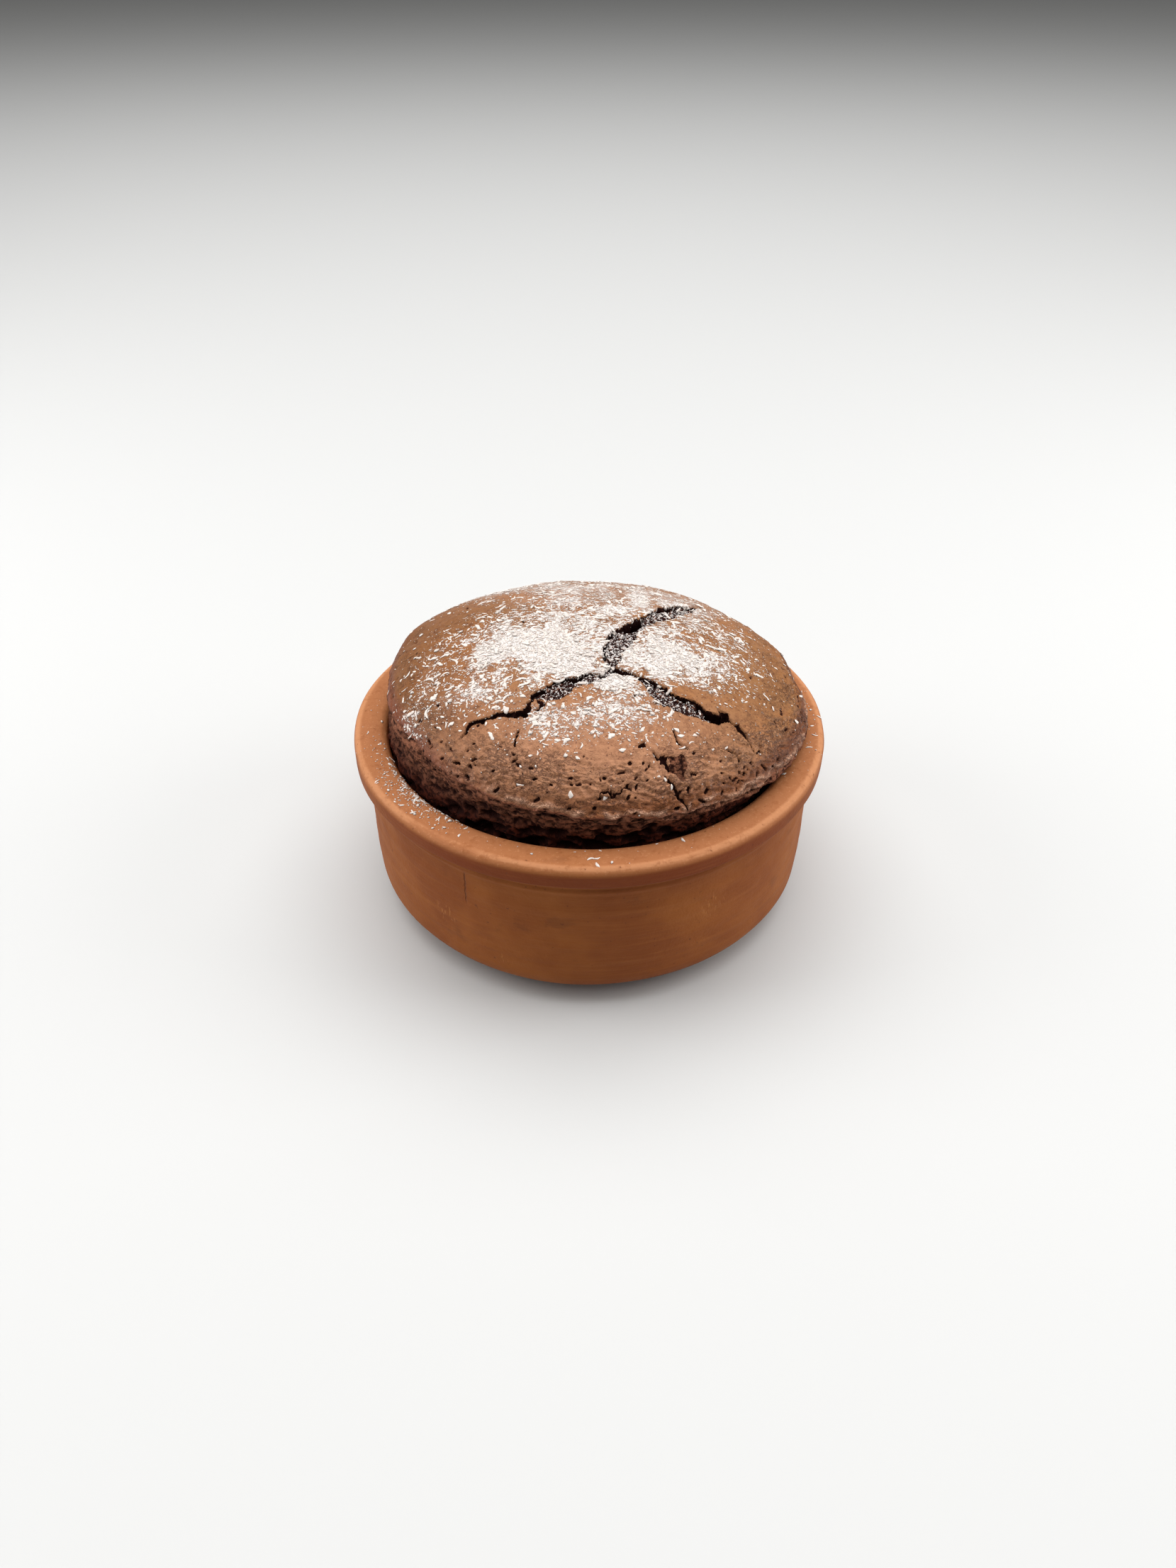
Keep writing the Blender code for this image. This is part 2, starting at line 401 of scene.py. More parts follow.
THIN_ARMS = (  # x, y, half width
    ((-14.4, -29.6, 0.5), (-16.0, -31.5, 0.6), (-16.9, -35.2, 1.2), (-19.6, -35.2, 1.0), (-23.3, -35.3, 0.7),
     (-26.0, -35.4, 1.0), (-31.2, -36.5, 0.9), (-33.4, -38.6, 0.2)),
    ((37.0, -31.2, 0.8), (39.4, -32.2, 0.4), (41.2, -33.0, 0.45), (43.0, -34.8, 0.25), (44.6, -37.6, 0.1)),
    ((37.4, -31.4, 0.9), (36.4, -29.9, 1.2), (34.8, -28.8, 0.4)),
    ((-13.0, -32.6, 0.9), (-14.2, -34.2, 0.5)),
    ((17.0, -45.7, 0.3), (18.4, -47.2, 0.6), (20.2, -46.6, 0.5), (19.8, -48.4, 0.8), (20.8, -49.6, 0.4)),
    ((21.0, -52.2, 0.3), (22.6, -53.3, 0.5), (23.6, -54.2, 0.35), (25.6, -54.4, 0.2)),
    ((21.6, -39.2, 0.3), (22.9, -42.0, 0.35), (26.0, -43.2, 0.2)),
    ((2.6, -57.4, 0.15), (7.0, -56.3, 0.3), (8.8, -55.2, 0.35), (11.4, -54.8, 0.2)),
    ((-18.4, -40.4, 0.35), (-19.2, -43.0, 0.3), (-20.2, -45.0, 0.2)),
    ((36.8, -39.6, 0.35), (38.2, -40.0, 0.15), (39.9, -40.4, 0.35)),
    ((28.0, -58.2, 0.2), (27.2, -55.6, 0.35), (29.6, -53.4, 0.15)),
    ((12.9, -44.6, 0.5), (14.6, -44.2, 0.6)),
)
WOBBLES = ((3.4, 11, 0.7), (1.5, 13, 0.45), (0.8, 15, 0.18))  # width, seed, reach
BESIDE = 0.9  # how far outside the tear its edges still pull the skin
CRACK_DEPTH = 6.5
SKIN_THICK = 0.7  # of the set skin, as its torn edge shows it
LIFT = 0.35  # how far the lifted plate's edge stands up
SLUMP = 0.3  # how far the other plate's edge hangs
UNDERCUT = 1.3  # how far the hollow reaches under the lifted plate
BROKEN_OUT = (23.0, -48.2, 2.7)  # x, y, reach of a bit of skin that has broken out


def crack_at(plan, knots, far):
    """How far each plan point is across the crack, positive towards the lifted plate, on the line's
    left if far is 1; what the knots say there after x and y; and the way across."""
    knots = np.array(knots)
    closest = np.full(len(plan), np.inf)
    across = np.zeros(len(plan))
    said = np.zeros((len(plan), knots.shape[1] - 2))
    way = np.zeros((len(plan), 2))
    for first, last in zip(knots, knots[1:]):
        run = (last - first)[:2]
        share = np.clip((plan - first[:2]) @ run / (run @ run), 0, 1)[:, None]
        away = plan - first[:2] - share * run
        distance = np.linalg.norm(away, axis=1)
        left = np.array((-run[1], run[0])) / np.linalg.norm(run) * far
        nearer = distance < closest
        closest[nearer] = distance[nearer]
        across[nearer] = (distance * np.sign(away @ left))[nearer]
        said[nearer] = (first[2:] + share * (last - first)[2:])[nearer]
        way[nearer] = left
    return across, said.T, way


def bend(plan):
    """The plan with the wobble that makes every torn edge ragged."""
    bent = plan
    for width, seed, reach in WOBBLES:
        bent = bent + reach * spots(hills(flat(plan) / width, seed), hills(flat(plan) / width, seed + 1))
    return bent


def hollow(half):
    """Depth of the tear where it is that wide."""
    return np.minimum(CRACK_DEPTH, 1.2 + 2.4 * half)


def trench(across, half):
    """The skin's shape across a crack: how far each point drops, and how far it moves towards the
    lifted plate. Points near an edge move onto it, so it is clean, and the lifted plate overhangs."""
    from_far, from_near = half - across, half + across
    inside = np.minimum(from_far, from_near)
    wide = smooth(half, 0.4, 0.9)
    step = SKIN_THICK + (hollow(half) - SKIN_THICK) * smooth(inside, 0.4, 0.95)
    notch = np.minimum(hollow(half), 1.6) * smooth(inside, -0.25, 0.3)
    drop = wide * step * (inside > 0) + (1 - wide) * notch
    to_far = np.interp(from_far, (-BESIDE, -0.45, 0, 0.45, 0.9, 1.7, 2.8),
                       (0, -0.4, 0, 0.45, 0.9 + 0.6 * UNDERCUT, UNDERCUT, 0))
    to_near = np.interp(from_near, (-BESIDE, -0.45, 0, 0.45, 0.9, 1.4), (0, -0.4, 0, 0.45, 0.4, 0))
    return drop, np.where(from_far < from_near, to_far, -to_near) * wide


def tear(plan):
    """For each plan point: how far the skin drops there, its push aside, and whether it is torn."""
    bent = bend(plan)
    jagged = bent + 0.5 * (bend(2.4 * plan + 60) - 2.4 * plan - 60)
    drop, lift, torn = np.zeros((3, len(plan)))
    push = np.zeros((len(plan), 2))
    arms = [(bent, *arm) for arm in WIDE_ARMS] + [(jagged, knots, 1) for knots in THIN_ARMS]
    for line, knots, far in arms:
        across, said, way = crack_at(line, knots, far)
        half = said[0]
        down, aside = trench(across, half)
        beside = (np.abs(across) < half + BESIDE) & (drop == 0) & (down == 0)
        deeper = down > drop
        torn = np.maximum(torn, smooth(half - np.abs(across), -0.2, 0.15))
        drop[deeper] = down[deeper]
        push[deeper | beside] = (aside[:, None] * way)[deeper | beside]
        size = min(max(knot[2] for knot in knots) / 2.5, 1)
        lift = np.maximum(lift, LIFT * size * np.exp(-np.abs(across - half) / 4.0) * (across > half))
        lift -= SLUMP * size * np.exp(-np.abs(across + half) / 1.5) * (across < -half)
    return drop - lift * (drop == 0), push, torn


def broken_out(plan):
    """1 where the bit of skin has broken out, 0 outside it."""
    x, y, reach = BROKEN_OUT
    offset = bend(plan) - (x, y)
    away = np.hypot(offset[:, 0], 1.2 * offset[:, 1]) + 1.1 * hills(flat(plan) / 1.6, 17)
    return smooth(away, reach, reach - 0.6)


print("the crack has", sum(len(knots) for knots, _ in WIDE_ARMS), "knots in its wide arms")

# %% [markdown]
# ## Pits and wrinkles
#
# Bubbles burst through the skin and leave small holes, mostly low on the front, where the skin has
# slumped into fine wrinkles. Each hole is an oval dimple with its own size, direction and depth. The
# wrinkles are ridged noise, stretched along the lip.

# %% Pits and wrinkles
def front_share(angle, turn):
    """1 low on the front of the crown, 0 at its top, and a little all round the back."""
    round_share = 0.3 + 0.7 * smooth(np.cos(angle + math.radians(62)), -0.1, 0.6)
    return round_share * smooth(np.degrees(turn), 48, 66)


def pit_list(count, seed):
    """Places, sizes and directions of the burst bubbles, more of them low on the front."""
    draw = np.random.default_rng(seed)
    pits = []
    while len(pits) < count:
        angle, turn = draw.uniform(-math.pi, math.pi), math.acos(draw.uniform(0.1, 1))
        width, length, heading = draw.uniform(0.14, 0.48), draw.uniform(1.1, 2.8), draw.normal(0.15, 0.5)
        chance = 0.06 + 0.94 * float(front_share(np.array(angle), np.array(turn)))
        if draw.uniform() < chance:
            pits.append((angle, turn, width, length, heading))
    return pits


def dimple(points):
    """How deep each point lies in a pit."""
    depth = np.zeros(len(points))
    for angle, turn, width, length, heading in pits:
        offset = points - crown_points(np.array(turn), np.array(angle))
        near = np.flatnonzero(np.abs(offset).max(axis=1) < 3 * width * length)
        round_dish = np.array((-math.sin(angle), math.cos(angle), 0.0))
        along = offset[near] @ round_dish
        up = np.linalg.norm(offset[near] - along[:, None] * round_dish, axis=1)
        up *= np.sign(offset[near][:, 2])
        first = along * math.cos(heading) + up * math.sin(heading)
        second = up * math.cos(heading) - along * math.sin(heading)
        reach = np.hypot(first / length, second) / width + 0.35 * hills(points[near] / 0.6, 35)
        depth[near] = np.maximum(depth[near], (0.3 + width) * smooth(reach, 1.2, 0.75))
    return depth


def wrinkles(angle, turn):
    """Height of the creases that run along the lip, as a ridge between each pair of folds."""
    along, down = angle * CROWN_RADIUS, skin_length(turn)
    slack = hills(spots(along / 5, down / 5, 0.0), 30)
    folds = rough_hills(spots(along / 3.0 + 0.6 * slack, down / 1.25 + 1.2 * slack, 0.0), 31, 2)
    return 1 - np.abs(folds) * 2.2


pits = pit_list(count=250, seed=5)
print("the skin has", len(pits), "burst bubbles, the longest", round(max(w * n for _, _, w, n, _ in pits), 1))

# %% [markdown]
# ## Where the topping lies
#
# The topping was shaken over the middle, so it lies thick round the crack and thins out to single
# flakes at the shoulder. A sum of soft round patches says how thick it lies at any plan point, and
# noise breaks the thinner places into clumps.

# %% Dust map
DUST_PATCHES = (  # x, y, reach along x and y, amount
    (-8.5, -8.0, 19.5, 13.0, 0.85), (21.0, -5.0, 11.0, 9.5, 0.62), (17.0, -15.5, 10.0, 5.5, 0.45),
    (20.0, -17.5, 7.5, 4.5, 0.28), (3.0, 15.0, 20.0, 13.0, 0.50), (0.0, -29.0, 14.0, 7.0, 0.17),
    (14.0, -31.0, 10.0, 6.0, 0.27), (3.0, -36.5, 14.0, 5.0, 0.30), (-22.0, -15.0, 15.0, 12.0, 0.28),
    (-26.0, 4.0, 14.0, 13.0, 0.25), (24.0, 25.0, 15.0, 11.0, 0.40), (-30.0, 42.0, 11.0, 8.0, 0.30),
    (-4.0, 38.0, 30.0, 14.0, 0.38), (34.0, 3.0, 9.0, 15.0, 0.35), (5.0, -23.6, 8.0, 2.6, 0.60),
    (-5.5, -19.5, 9.0, 4.5, 0.50), (13.0, -26.0, 6.0, 3.5, 0.26), (32.0, -10.5, 7.0, 6.0, 0.30),
    (-12.0, -35.0, 5.0, 3.0, 0.35), (44.0, -2.0, 9.0, 20.0, 0.20), (-42.0, -10.0, 10.0, 15.0, 0.22),
    (-46.0, -27.0, 8.0, 8.0, 0.28), (2.0, -41.0, 26.0, 5.0, 0.17), (-27.0, -27.0, 9.0, 6.0, 0.26),
    (-35.0, -28.0, 7.0, 6.0, 0.14), (-9.0, -42.0, 11.0, 5.0, 0.18), (33.0, -20.5, 8.0, 5.0, 0.20),
    (2.0, -23.8, 5.5, 2.2, 0.30),
)
STRAY = (2.6, 10.0, 50.0, 44.0, 0.05)  # the single flakes that fell wide


def patch(plan, x, y, reach_x, reach_y, amount):
    offset = (plan - (x, y)) / (reach_x, reach_y)
    return amount * np.exp(-(offset**2).sum(axis=1))


def dust_at(plan):
    """How thick the topping lies, from 0 to 1."""
    thick = sum(patch(plan, *row) for row in DUST_PATCHES)
    thick = thick * (1 + 0.5 * rough_hills(flat(plan) / 5.0, 25, 3) * smooth(thick, 1.1, 0.6))
    return np.clip(0.95 * np.clip(thick, 0, 1) ** 1.25 + patch(plan, *STRAY), 0, 1)


print("dust in the middle:", dust_at(np.array([[-8.0, -7.0]]))[0].round(2))

# %% [markdown]
# ## The crown
#
# The crown is one closed mesh of small quads. A square grid squeezed into a disk has nearly even
# quads and no pole, which rings round a middle point would have. A Moebius map, which keeps small
# squares square, draws the grid towards the front, where the quads are half the size of those at the
# back. The grid is laid over the crown by length along the skin, and its points are moved: lumps,
# wrinkles, pits, the tear, and a ragged thin edge, under which the mesh turns in and closes.

# %% Crown grid
GRID = 298  # quads along one side of the square
DRAWN = 0.26 * np.exp(-1j * math.radians(80))  # how far, and which way, the grid is drawn
SWELLINGS = (  # angle round, turn, reach in degrees, height
    (157, 80, 16, 2.2), (122, 68, 12, -1.5), (65, 64, 14, 0.8), (42, 74, 12, -1.1), (22, 82, 9, 0.9),
    (6, 82, 8, -1.2),
)
EDGE_RINGS = ((0.5, 0.45), (1.6, 0.5), (6, 1.5))  # how far in and down the closing rings lie


def disk_grid():
    """Radius (0 to 1) and angle of a square grid's points squeezed into a disk, its quads, and its
    outline's points in order."""
    line = np.linspace(-1, 1, GRID + 1)
    a, b = (values.ravel() for values in np.meshgrid(line, line))
    wide = np.abs(a) > np.abs(b)
    radius = np.where(wide, a, b)
    lead = np.where(radius == 0, 1, radius)
    angle = np.where(wide, QUARTER / 2 * b / lead, QUARTER - QUARTER / 2 * a / lead)
    angle = np.where(radius < 0, angle + math.pi, angle)
    number = np.arange((GRID + 1) ** 2).reshape(GRID + 1, GRID + 1)
    outline = np.concatenate([number[0, :-1], number[:-1, -1], number[-1, :0:-1], number[:0:-1, 0]])
    spot = np.abs(radius) * np.exp(1j * angle)
    spot = (spot + DRAWN) / (1 + np.conj(DRAWN) * spot)
    return np.abs(spot), np.angle(spot), grid_quads(number), outline


def facing(angle, middle, start, end):
    """1 on the part of the crown that faces the middle direction, in degrees, and 0 elsewhere."""
    return smooth(np.cos(angle - math.radians(middle)), start, end)


def skin_edge(angle):
    """The turn at which the skin ends, ragged, and higher on the left of the front."""
    ragged = rough_hills(spots(np.cos(angle) * 9, np.sin(angle) * 9, 0.0), 21, 4)
    return np.radians(86.5 - 5.0 * bell(np.degrees(angle), -150, 30) + 1.8 * ragged)


def swelling(angle, turn):
    """How far the dough's own swellings stand out of the even crown."""
    out = np.zeros(len(angle))
    for middle, down, reach, height in SWELLINGS:
        aside = (np.degrees(angle) - middle + 180) % 360 - 180
        out += height * bell(aside, 0, reach) * bell(np.degrees(turn), down, 14)
    return out


def greatest(*shares):
    return np.maximum.reduce(shares)


def crown_mesh():
    radius, angle, quads, outline = disk_grid()
    edge_length = skin_length(skin_edge(angle))
    from_edge = edge_length - radius * edge_length
    turn = np.interp(radius * edge_length, length_table, turn_table)
    base = crown_points(turn, angle)
    plan = base[:, :2]
    drop, push, torn = tear(plan)
    bare = broken_out(plan) * (1 - torn)
    front = front_share(angle, turn)
    pit = dimple(base)
    grit = nearest_seed(base / 1.15, 44)
    edge = smooth(radius * edge_length, edge_length - 1.8, edge_length)
    ridge = bell(from_edge - hills(base / 3.0, 49), 1.6, 0.7) * smooth(hills(base / 2.8, 50), -0.5, 0.2)
    out = 0.35 * hills(base / 17, 42) + 0.22 * rough_hills(base / 6, 43, 2) + swelling(angle, turn)
    out += 0.06 * rough_hills(base / 0.9, 41, 2) + 0.30 * front * wrinkles(angle, turn) - pit
    out -= bare * (0.35 + 1.0 * (grit - 0.4))
    out += 0.4 * edge * hills(base / 2.2, 45) + 0.25 * edge + 0.45 * front * ridge
    points = base + normals_of(base, quads) * out[:, None]
    points[:, 2] -= drop
    points[:, :2] += push
    left = facing(angle, 195, 0.55, 0.9)
    thin_edge = smooth(from_edge, 0.9, 0.3) * facing(angle, -25, 0.5, 0.8)
    tucked = smooth(from_edge, 1.0, 0.1) * facing(angle, -105, 0.55, 0.85)
    return points, quads, outline, {
        "raw": greatest(torn, smooth(pit, 0.12, 0.4), bare, 0.4 * smooth(from_edge, 5.0, 0.8) * left),
        # painted shade in the tear, the pits and the hollows of the broken-out patch
        "deep": greatest(torn, 0.6 * smooth(pit, 0.25, 0.5), 0.6 * bare * smooth(grit, 0.35, 0.65)),
        "dust": dust_at(plan) * (1 - torn) * (1 - smooth(pit, 0.2, 0.5)) * (1 - bare),
        "front": front,
        # where the painted highlights lie: the lip's ridge and the thin front edge
        "lip": greatest(front * ridge, 0.45 * thin_edge) * (1 - left),
        # painted shade where the skin rolls under its edge in front, and a darker band near the edge on the
        # left
        "under": greatest(tucked, 0.8 * smooth(from_edge, 6.0, 0.3) * left),
        "down": skin_length(turn),
        "along": angle * CROWN_RADIUS,
    }


def with_hidden(points, numbers, hidden):
    """Adds points that nobody sees, with the numbers of raw crumb in full painted shade."""
    numbers = {key: np.concatenate([values, np.full(len(hidden), float(key in ("raw", "deep")))])
               for key, values in numbers.items()}
    return np.concatenate([points, hidden]), numbers


def close_under(points, quads, outline, numbers):
    """Adds the skin's thin edge, its underside and a middle point inside the souffle."""
    rim, middle = points[outline], np.array((*CROWN_CENTRE, NECK_HEIGHT))
    inward = (middle - rim) / np.linalg.norm(middle - rim, axis=1, keepdims=True)
    rings = [rim + far * inward - (0, 0, down) for far, down in EDGE_RINGS]
    hidden = len(points) + np.arange(len(rings) * len(rim))
    number = np.vstack([outline, hidden.reshape(len(rings), -1)])
    faces = quads.tolist() + ring_quads(number).tolist() + fan(number[-1], int(hidden[-1]) + 1)
    points, numbers = with_hidden(points, numbers, np.concatenate([*rings, middle[None]]))
    return points, faces, numbers


crown_parts = crown_mesh()
crown = mesh_object("souffle_crown", *close_under(*crown_parts))
print("crown:", triangles(crown), "triangles,", len(crown.data.vertices), "points")

# %% [markdown]
# ## The torn crumb
#
# Between the plates the crumb shows: a slope of small wet grains that starts just under one plate's
# skin and breaks off where the gap begins. It needs closer points than the skin, so it is a thin
# slab of its own, on a fine square grid of which only the cells in the tear are kept. Cell noise in
# two sizes makes the grains.

# %% Torn crumb
CRUMB_STEP = 0.2
CRUMB_THICK = 1.0
CRUMB_UNDER = 0.5  # how far the slab reaches in under the skin
CRUMB_BOX = ((-18.0, 36.0), (-36.0, 30.0))


def crown_above(plan):
    """Height of the crown's plain surface over each plan point."""
    offset = plan - CROWN_CENTRE
    share = np.clip(np.linalg.norm(offset, axis=1) / CROWN_RADIUS, 0, 1)
    return LIP_HEIGHT + CROWN_RISE * np.sqrt(1 - share**2) + offset @ TILT


def crumb_slope(plan):
    """How far inside the tear each plan point is, and how deep the crumb lies there."""
    bent, ragged = bend(plan), 0.26 * hills(flat(plan) / 1.9, 48)
    inside, depth = np.full(len(plan), -9.0), np.zeros(len(plan))
    for knots, far in WIDE_ARMS:
        across, (half, gap), _ = crack_at(bent, knots, far)
        within = half - np.abs(across)
        share = np.clip((half + across) / (2 * half), 0, 1)
        slope = 0.45 + 0.15 * share + 0.9 * smooth(within, 0.1, -CRUMB_UNDER)
        breaks = smooth(share + ragged, 1.03 - gap, 1.16 - gap)
        better = within > inside
        inside[better] = within[better]
        depth[better] = (slope + (hollow(half) + 0.5 - slope) * breaks)[better]
    return inside, depth


def slab(points, quads, thickness):
    """Closes a sheet of quads into a slab: the sheet, its copy below turned over, and the walls."""
    count = len(points)
    edges = np.concatenate([quads[:, [k, (k + 1) % 4]] for k in range(4)])
    key, back = edges[:, 0] * count + edges[:, 1], edges[:, 1] * count + edges[:, 0]
    here, there = edges[~np.isin(key, back)].T
    walls = np.stack([there, here, here + count, there + count], axis=1)
    lower = points - (0, 0, thickness)
    return np.concatenate([points, lower]), np.concatenate([quads, quads[:, ::-1] + count, walls])


def crumb_mesh():
    grid = np.meshgrid(*[np.arange(low, high, CRUMB_STEP) for low, high in CRUMB_BOX])
    plan = np.column_stack([values.ravel() for values in grid])
    inside, depth = crumb_slope(plan)
    quads = grid_quads(np.arange(len(plan)).reshape(grid[0].shape))
    quads = quads[(inside[quads] > -CRUMB_UNDER).all(axis=1)]
    used, renumbered = np.unique(quads, return_inverse=True)
    plan, depth = plan[used], depth[used]
    base = spots(plan[:, 0], plan[:, 1], crown_above(plan))
    coarse = 0.5 - nearest_seed(base / (1.5, 1.5, 3.0), 46)
    fine = 0.5 - nearest_seed(base / (0.8, 0.8, 1.6), 47)
    hollows = np.clip(0.3 - 1.0 * coarse - 0.8 * fine, 0, 1)
    points = base + spots(0.0, 0.0, 0.8 * coarse + 0.5 * fine - depth)
    return points, renumbered.reshape(-1, 4), {
        "raw": np.ones(len(used)), "down": depth, "along": plan[:, 0],
        "dust": (0.3 + 0.26 * dust_at(plan)) * smooth(depth, 2.4, 1.0) * (1 - 0.7 * hollows),
        # painted shade in the hollows and where the crumb lies deeper in the tear
        "deep": np.clip(0.3 + 1.1 * hollows + 0.9 * smooth(depth, 1.4, 2.6), 0, 1),
    }


crumb_points, crumb_quads, crumb_numbers = crumb_mesh()
slab_points, slab_faces = slab(crumb_points, crumb_quads, CRUMB_THICK)
slab_numbers = {key: np.tile(values, 2) for key, values in crumb_numbers.items()}
crumb = mesh_object("souffle_crumb", slab_points, slab_faces.tolist(), slab_numbers)
print("torn crumb:", triangles(crumb), "triangles")

# %% [markdown]
# ## The crumb under the lip
#
# Below the skin's edge the side is bare, dark crumb, pulled into pores and caves as it rose along the
# dish. It is a separate closed mesh, so that the skin can overhang it: rings from just under the
# skin, over the lip and down to the neck, then coarser rings inside the dish, where nothing is seen.

# %% Crumb side
AROUND = 960
COARSE = 4  # the hidden rings have a quarter of the points
INSIDE = ((57.0, 45.0), (58.8, 38.0), (58.8, 18.0), (50.0, 7.0))  # r, z of the hidden rings
OVER = np.linspace(math.radians(70), QUARTER, 22)  # turns from under the skin to the lip
UNDER = np.linspace(0, QUARTER, 30)[1:]  # turns from the lip to the neck


def side_mesh():
    around = np.linspace(-math.pi, math.pi, AROUND, endpoint=False)
    rings = [crown_points(turn, around) for turn in OVER] + [side_points(turn, around) for turn in UNDER]
    base = np.concatenate(rings)
    number = np.arange(len(base)).reshape(-1, AROUND)
    quads = ring_quads(number)
    angle = np.tile(around, len(rings))
    turn = np.repeat([*OVER, *[QUARTER] * len(UNDER)], AROUND)
    height = base[:, 2]
    low = smooth(height, 64, 54)
    left = facing(angle, 180, 0.6, 0.95)
    squeezed = base / (6.2, 6.2, 2.5) + 0.25 * hills(base / 3.0, 54)[:, None]
    caves = smooth(nearest_seed(squeezed, 51), 0.44 + 0.12 * low, 0.2 + 0.12 * low)
    caves *= (0.2 + 0.8 * low) * (1 - 0.6 * left)
    pores = smooth(nearest_seed(base / (2.4, 2.4, 1.3), 52), 0.4, 0.15)
    webs = 1 - np.abs(rough_hills(base / (6.0, 6.0, 1.9), 55, 3))
    lumps = rough_hills(base / (4.0, 4.0, 2.4), 53, 5)
    tucked = 1.5 * smooth(np.tile(skin_edge(around), len(rings)) - turn, 0.01, 0.08)
    inset = 0.6 + 2.6 * caves + 0.35 * pores - 0.45 * np.minimum(lumps, 0.6) + tucked - 0.7 * webs
    inset -= (0.5 + 1.6 * left) * smooth(height, 64, 57)
    inset -= swelling(angle, turn) * smooth(height, 56, 62)
    points = base - normals_of(base, quads) * inset[:, None]
    # painted shade: darkest in the caves and pores and lower down, lighter on lumps, webs and the left
    deep = 0.3 + 1.2 * caves + 0.7 * pores + 0.3 * low - 0.3 * lumps - 0.4 * webs - 0.25 * left
    return points, quads, number, {
        "raw": np.ones(len(points)), "down": height, "along": angle * CROWN_RADIUS,
        "deep": np.clip(deep, 0, 1),
    }


def close_inside(points, quads, number, numbers):
    """Adds the coarse hidden rings down to the dish's floor, and closes both ends with a middle point."""
    around = np.linspace(-math.pi, math.pi, AROUND // COARSE, endpoint=False)
    rings = [spots(r * np.cos(around), r * np.sin(around), z) for r, z in INSIDE]
    hidden = len(points) + np.arange(len(rings) * len(around)).reshape(len(rings), -1)
    bottom = int(hidden[-1, -1]) + 1
    faces = quads.tolist()
    for i, (here, there) in enumerate(zip(hidden[0].tolist(), np.roll(hidden[0], -1).tolist())):
        fine = np.take(number[-1], range(i * COARSE, (i + 1) * COARSE + 1), mode="wrap").tolist()
        middle = COARSE // 2
        faces += [(fine[k], here, fine[k + 1]) for k in range(middle)]
        faces.append((fine[middle], here, there))
        faces += [(fine[k], there, fine[k + 1]) for k in range(middle, COARSE)]
    faces += ring_quads(hidden).tolist() + fan(hidden[-1], bottom)
    faces += [face[::-1] for face in fan(number[0], bottom + 1)]
    ends = np.array(((0.0, 0.0, INSIDE[-1][1]), (*CROWN_CENTRE, NECK_HEIGHT)))
    points, numbers = with_hidden(points, numbers, np.concatenate([*rings, ends]))
    return points, faces, numbers


side = mesh_object("souffle_side", *close_inside(*side_mesh()))
print("side:", triangles(side), "triangles")

# %% [markdown]
# ## The dish
#
# The dish is thrown on a wheel, so one half section turned round the axis makes it. Geometry Nodes
# do the turning here, because the rule is short and its sizes stay adjustable: a grid whose rows are
# the section's points and whose columns go round, moved to radius, height and angle. A little noise
# keeps it from looking machined. The host object holds only the half section.

# %% Half section
BASE_RADIUS = 45.0
FOOT_HEIGHT = 13.0
WALL_RADIUS = 66.1
BELLY = 0.5
COVE = 3.1
RIM_RADIUS = 70.0
RIM_UNDERSIDE = 49.2
RIM_EDGE = 0.9
RIM_TOP = 55.6
RIM_ROUND = 2.8
RIM_CORNER = 2.2
INSIDE_RADIUS = 59.6
FLOOR = 6.0
INSIDE_ROUND = 10.0
NECK = RIM_UNDERSIDE - COVE
RIPPLES = ((3.1, 61, 0.10), (0.9, 62, 0.04))  # width, seed, height
BEAD = (44.6, 0.7, 0.35)  # height on the wall, reach, how far it stands out


def arc(r, z, wide, high, start, end, steps):
    """Points (r, z) on an arc round a centre, wide and high, from start to end in degrees."""
    angle = np.radians(np.linspace(start, end, steps + 1))
    return spots(r + wide * np.cos(angle), z + high * np.sin(angle))


def wall():
    """The outer wall above the foot: a slight belly, finger ripples, and a bead at the neck."""
    height = np.linspace(FOOT_HEIGHT, NECK, 91)[1:-1]
    radius = WALL_RADIUS + BELLY * np.sin(math.pi * (height - FOOT_HEIGHT) / (NECK - FOOT_HEIGHT))
    for width, seed, size in RIPPLES:
        radius += size * hills(spots(height / width, 0.0, 0.0), seed)
    return spots(radius + BEAD[2] * bell(height, BEAD[0], BEAD[1]), height)


half_outline = np.concatenate([
    ((0.0, 0.0), (BASE_RADIUS * 0.5, 0.0), (BASE_RADIUS - 1, 0.0)),
    arc(BASE_RADIUS, FOOT_HEIGHT, WALL_RADIUS - BASE_RADIUS, FOOT_HEIGHT, -90, 0, 44),
    wall(),
    arc(WALL_RADIUS + COVE, NECK, COVE, COVE, 180, 90, 12),
    arc(RIM_RADIUS - RIM_EDGE, RIM_UNDERSIDE + RIM_EDGE, RIM_EDGE, RIM_EDGE, -80, 0, 5),
    arc(RIM_RADIUS - RIM_CORNER, RIM_TOP - RIM_CORNER, RIM_CORNER, RIM_CORNER, 0, 90, 14),
    arc(INSIDE_RADIUS + RIM_ROUND, RIM_TOP - RIM_ROUND, RIM_ROUND, RIM_ROUND, 90, 180, 12),
    ((INSIDE_RADIUS, 46.0), (INSIDE_RADIUS, 38.0)),
    arc(INSIDE_RADIUS - INSIDE_ROUND, FLOOR + INSIDE_ROUND, INSIDE_ROUND, INSIDE_ROUND, 0, -90, 8),
    ((0.0, FLOOR),),
])
half_section = mesh_object("half_section", spots(half_outline[:, 0], 0.0, half_outline[:, 1]), [])
print("the half section has", len(half_outline), "points")

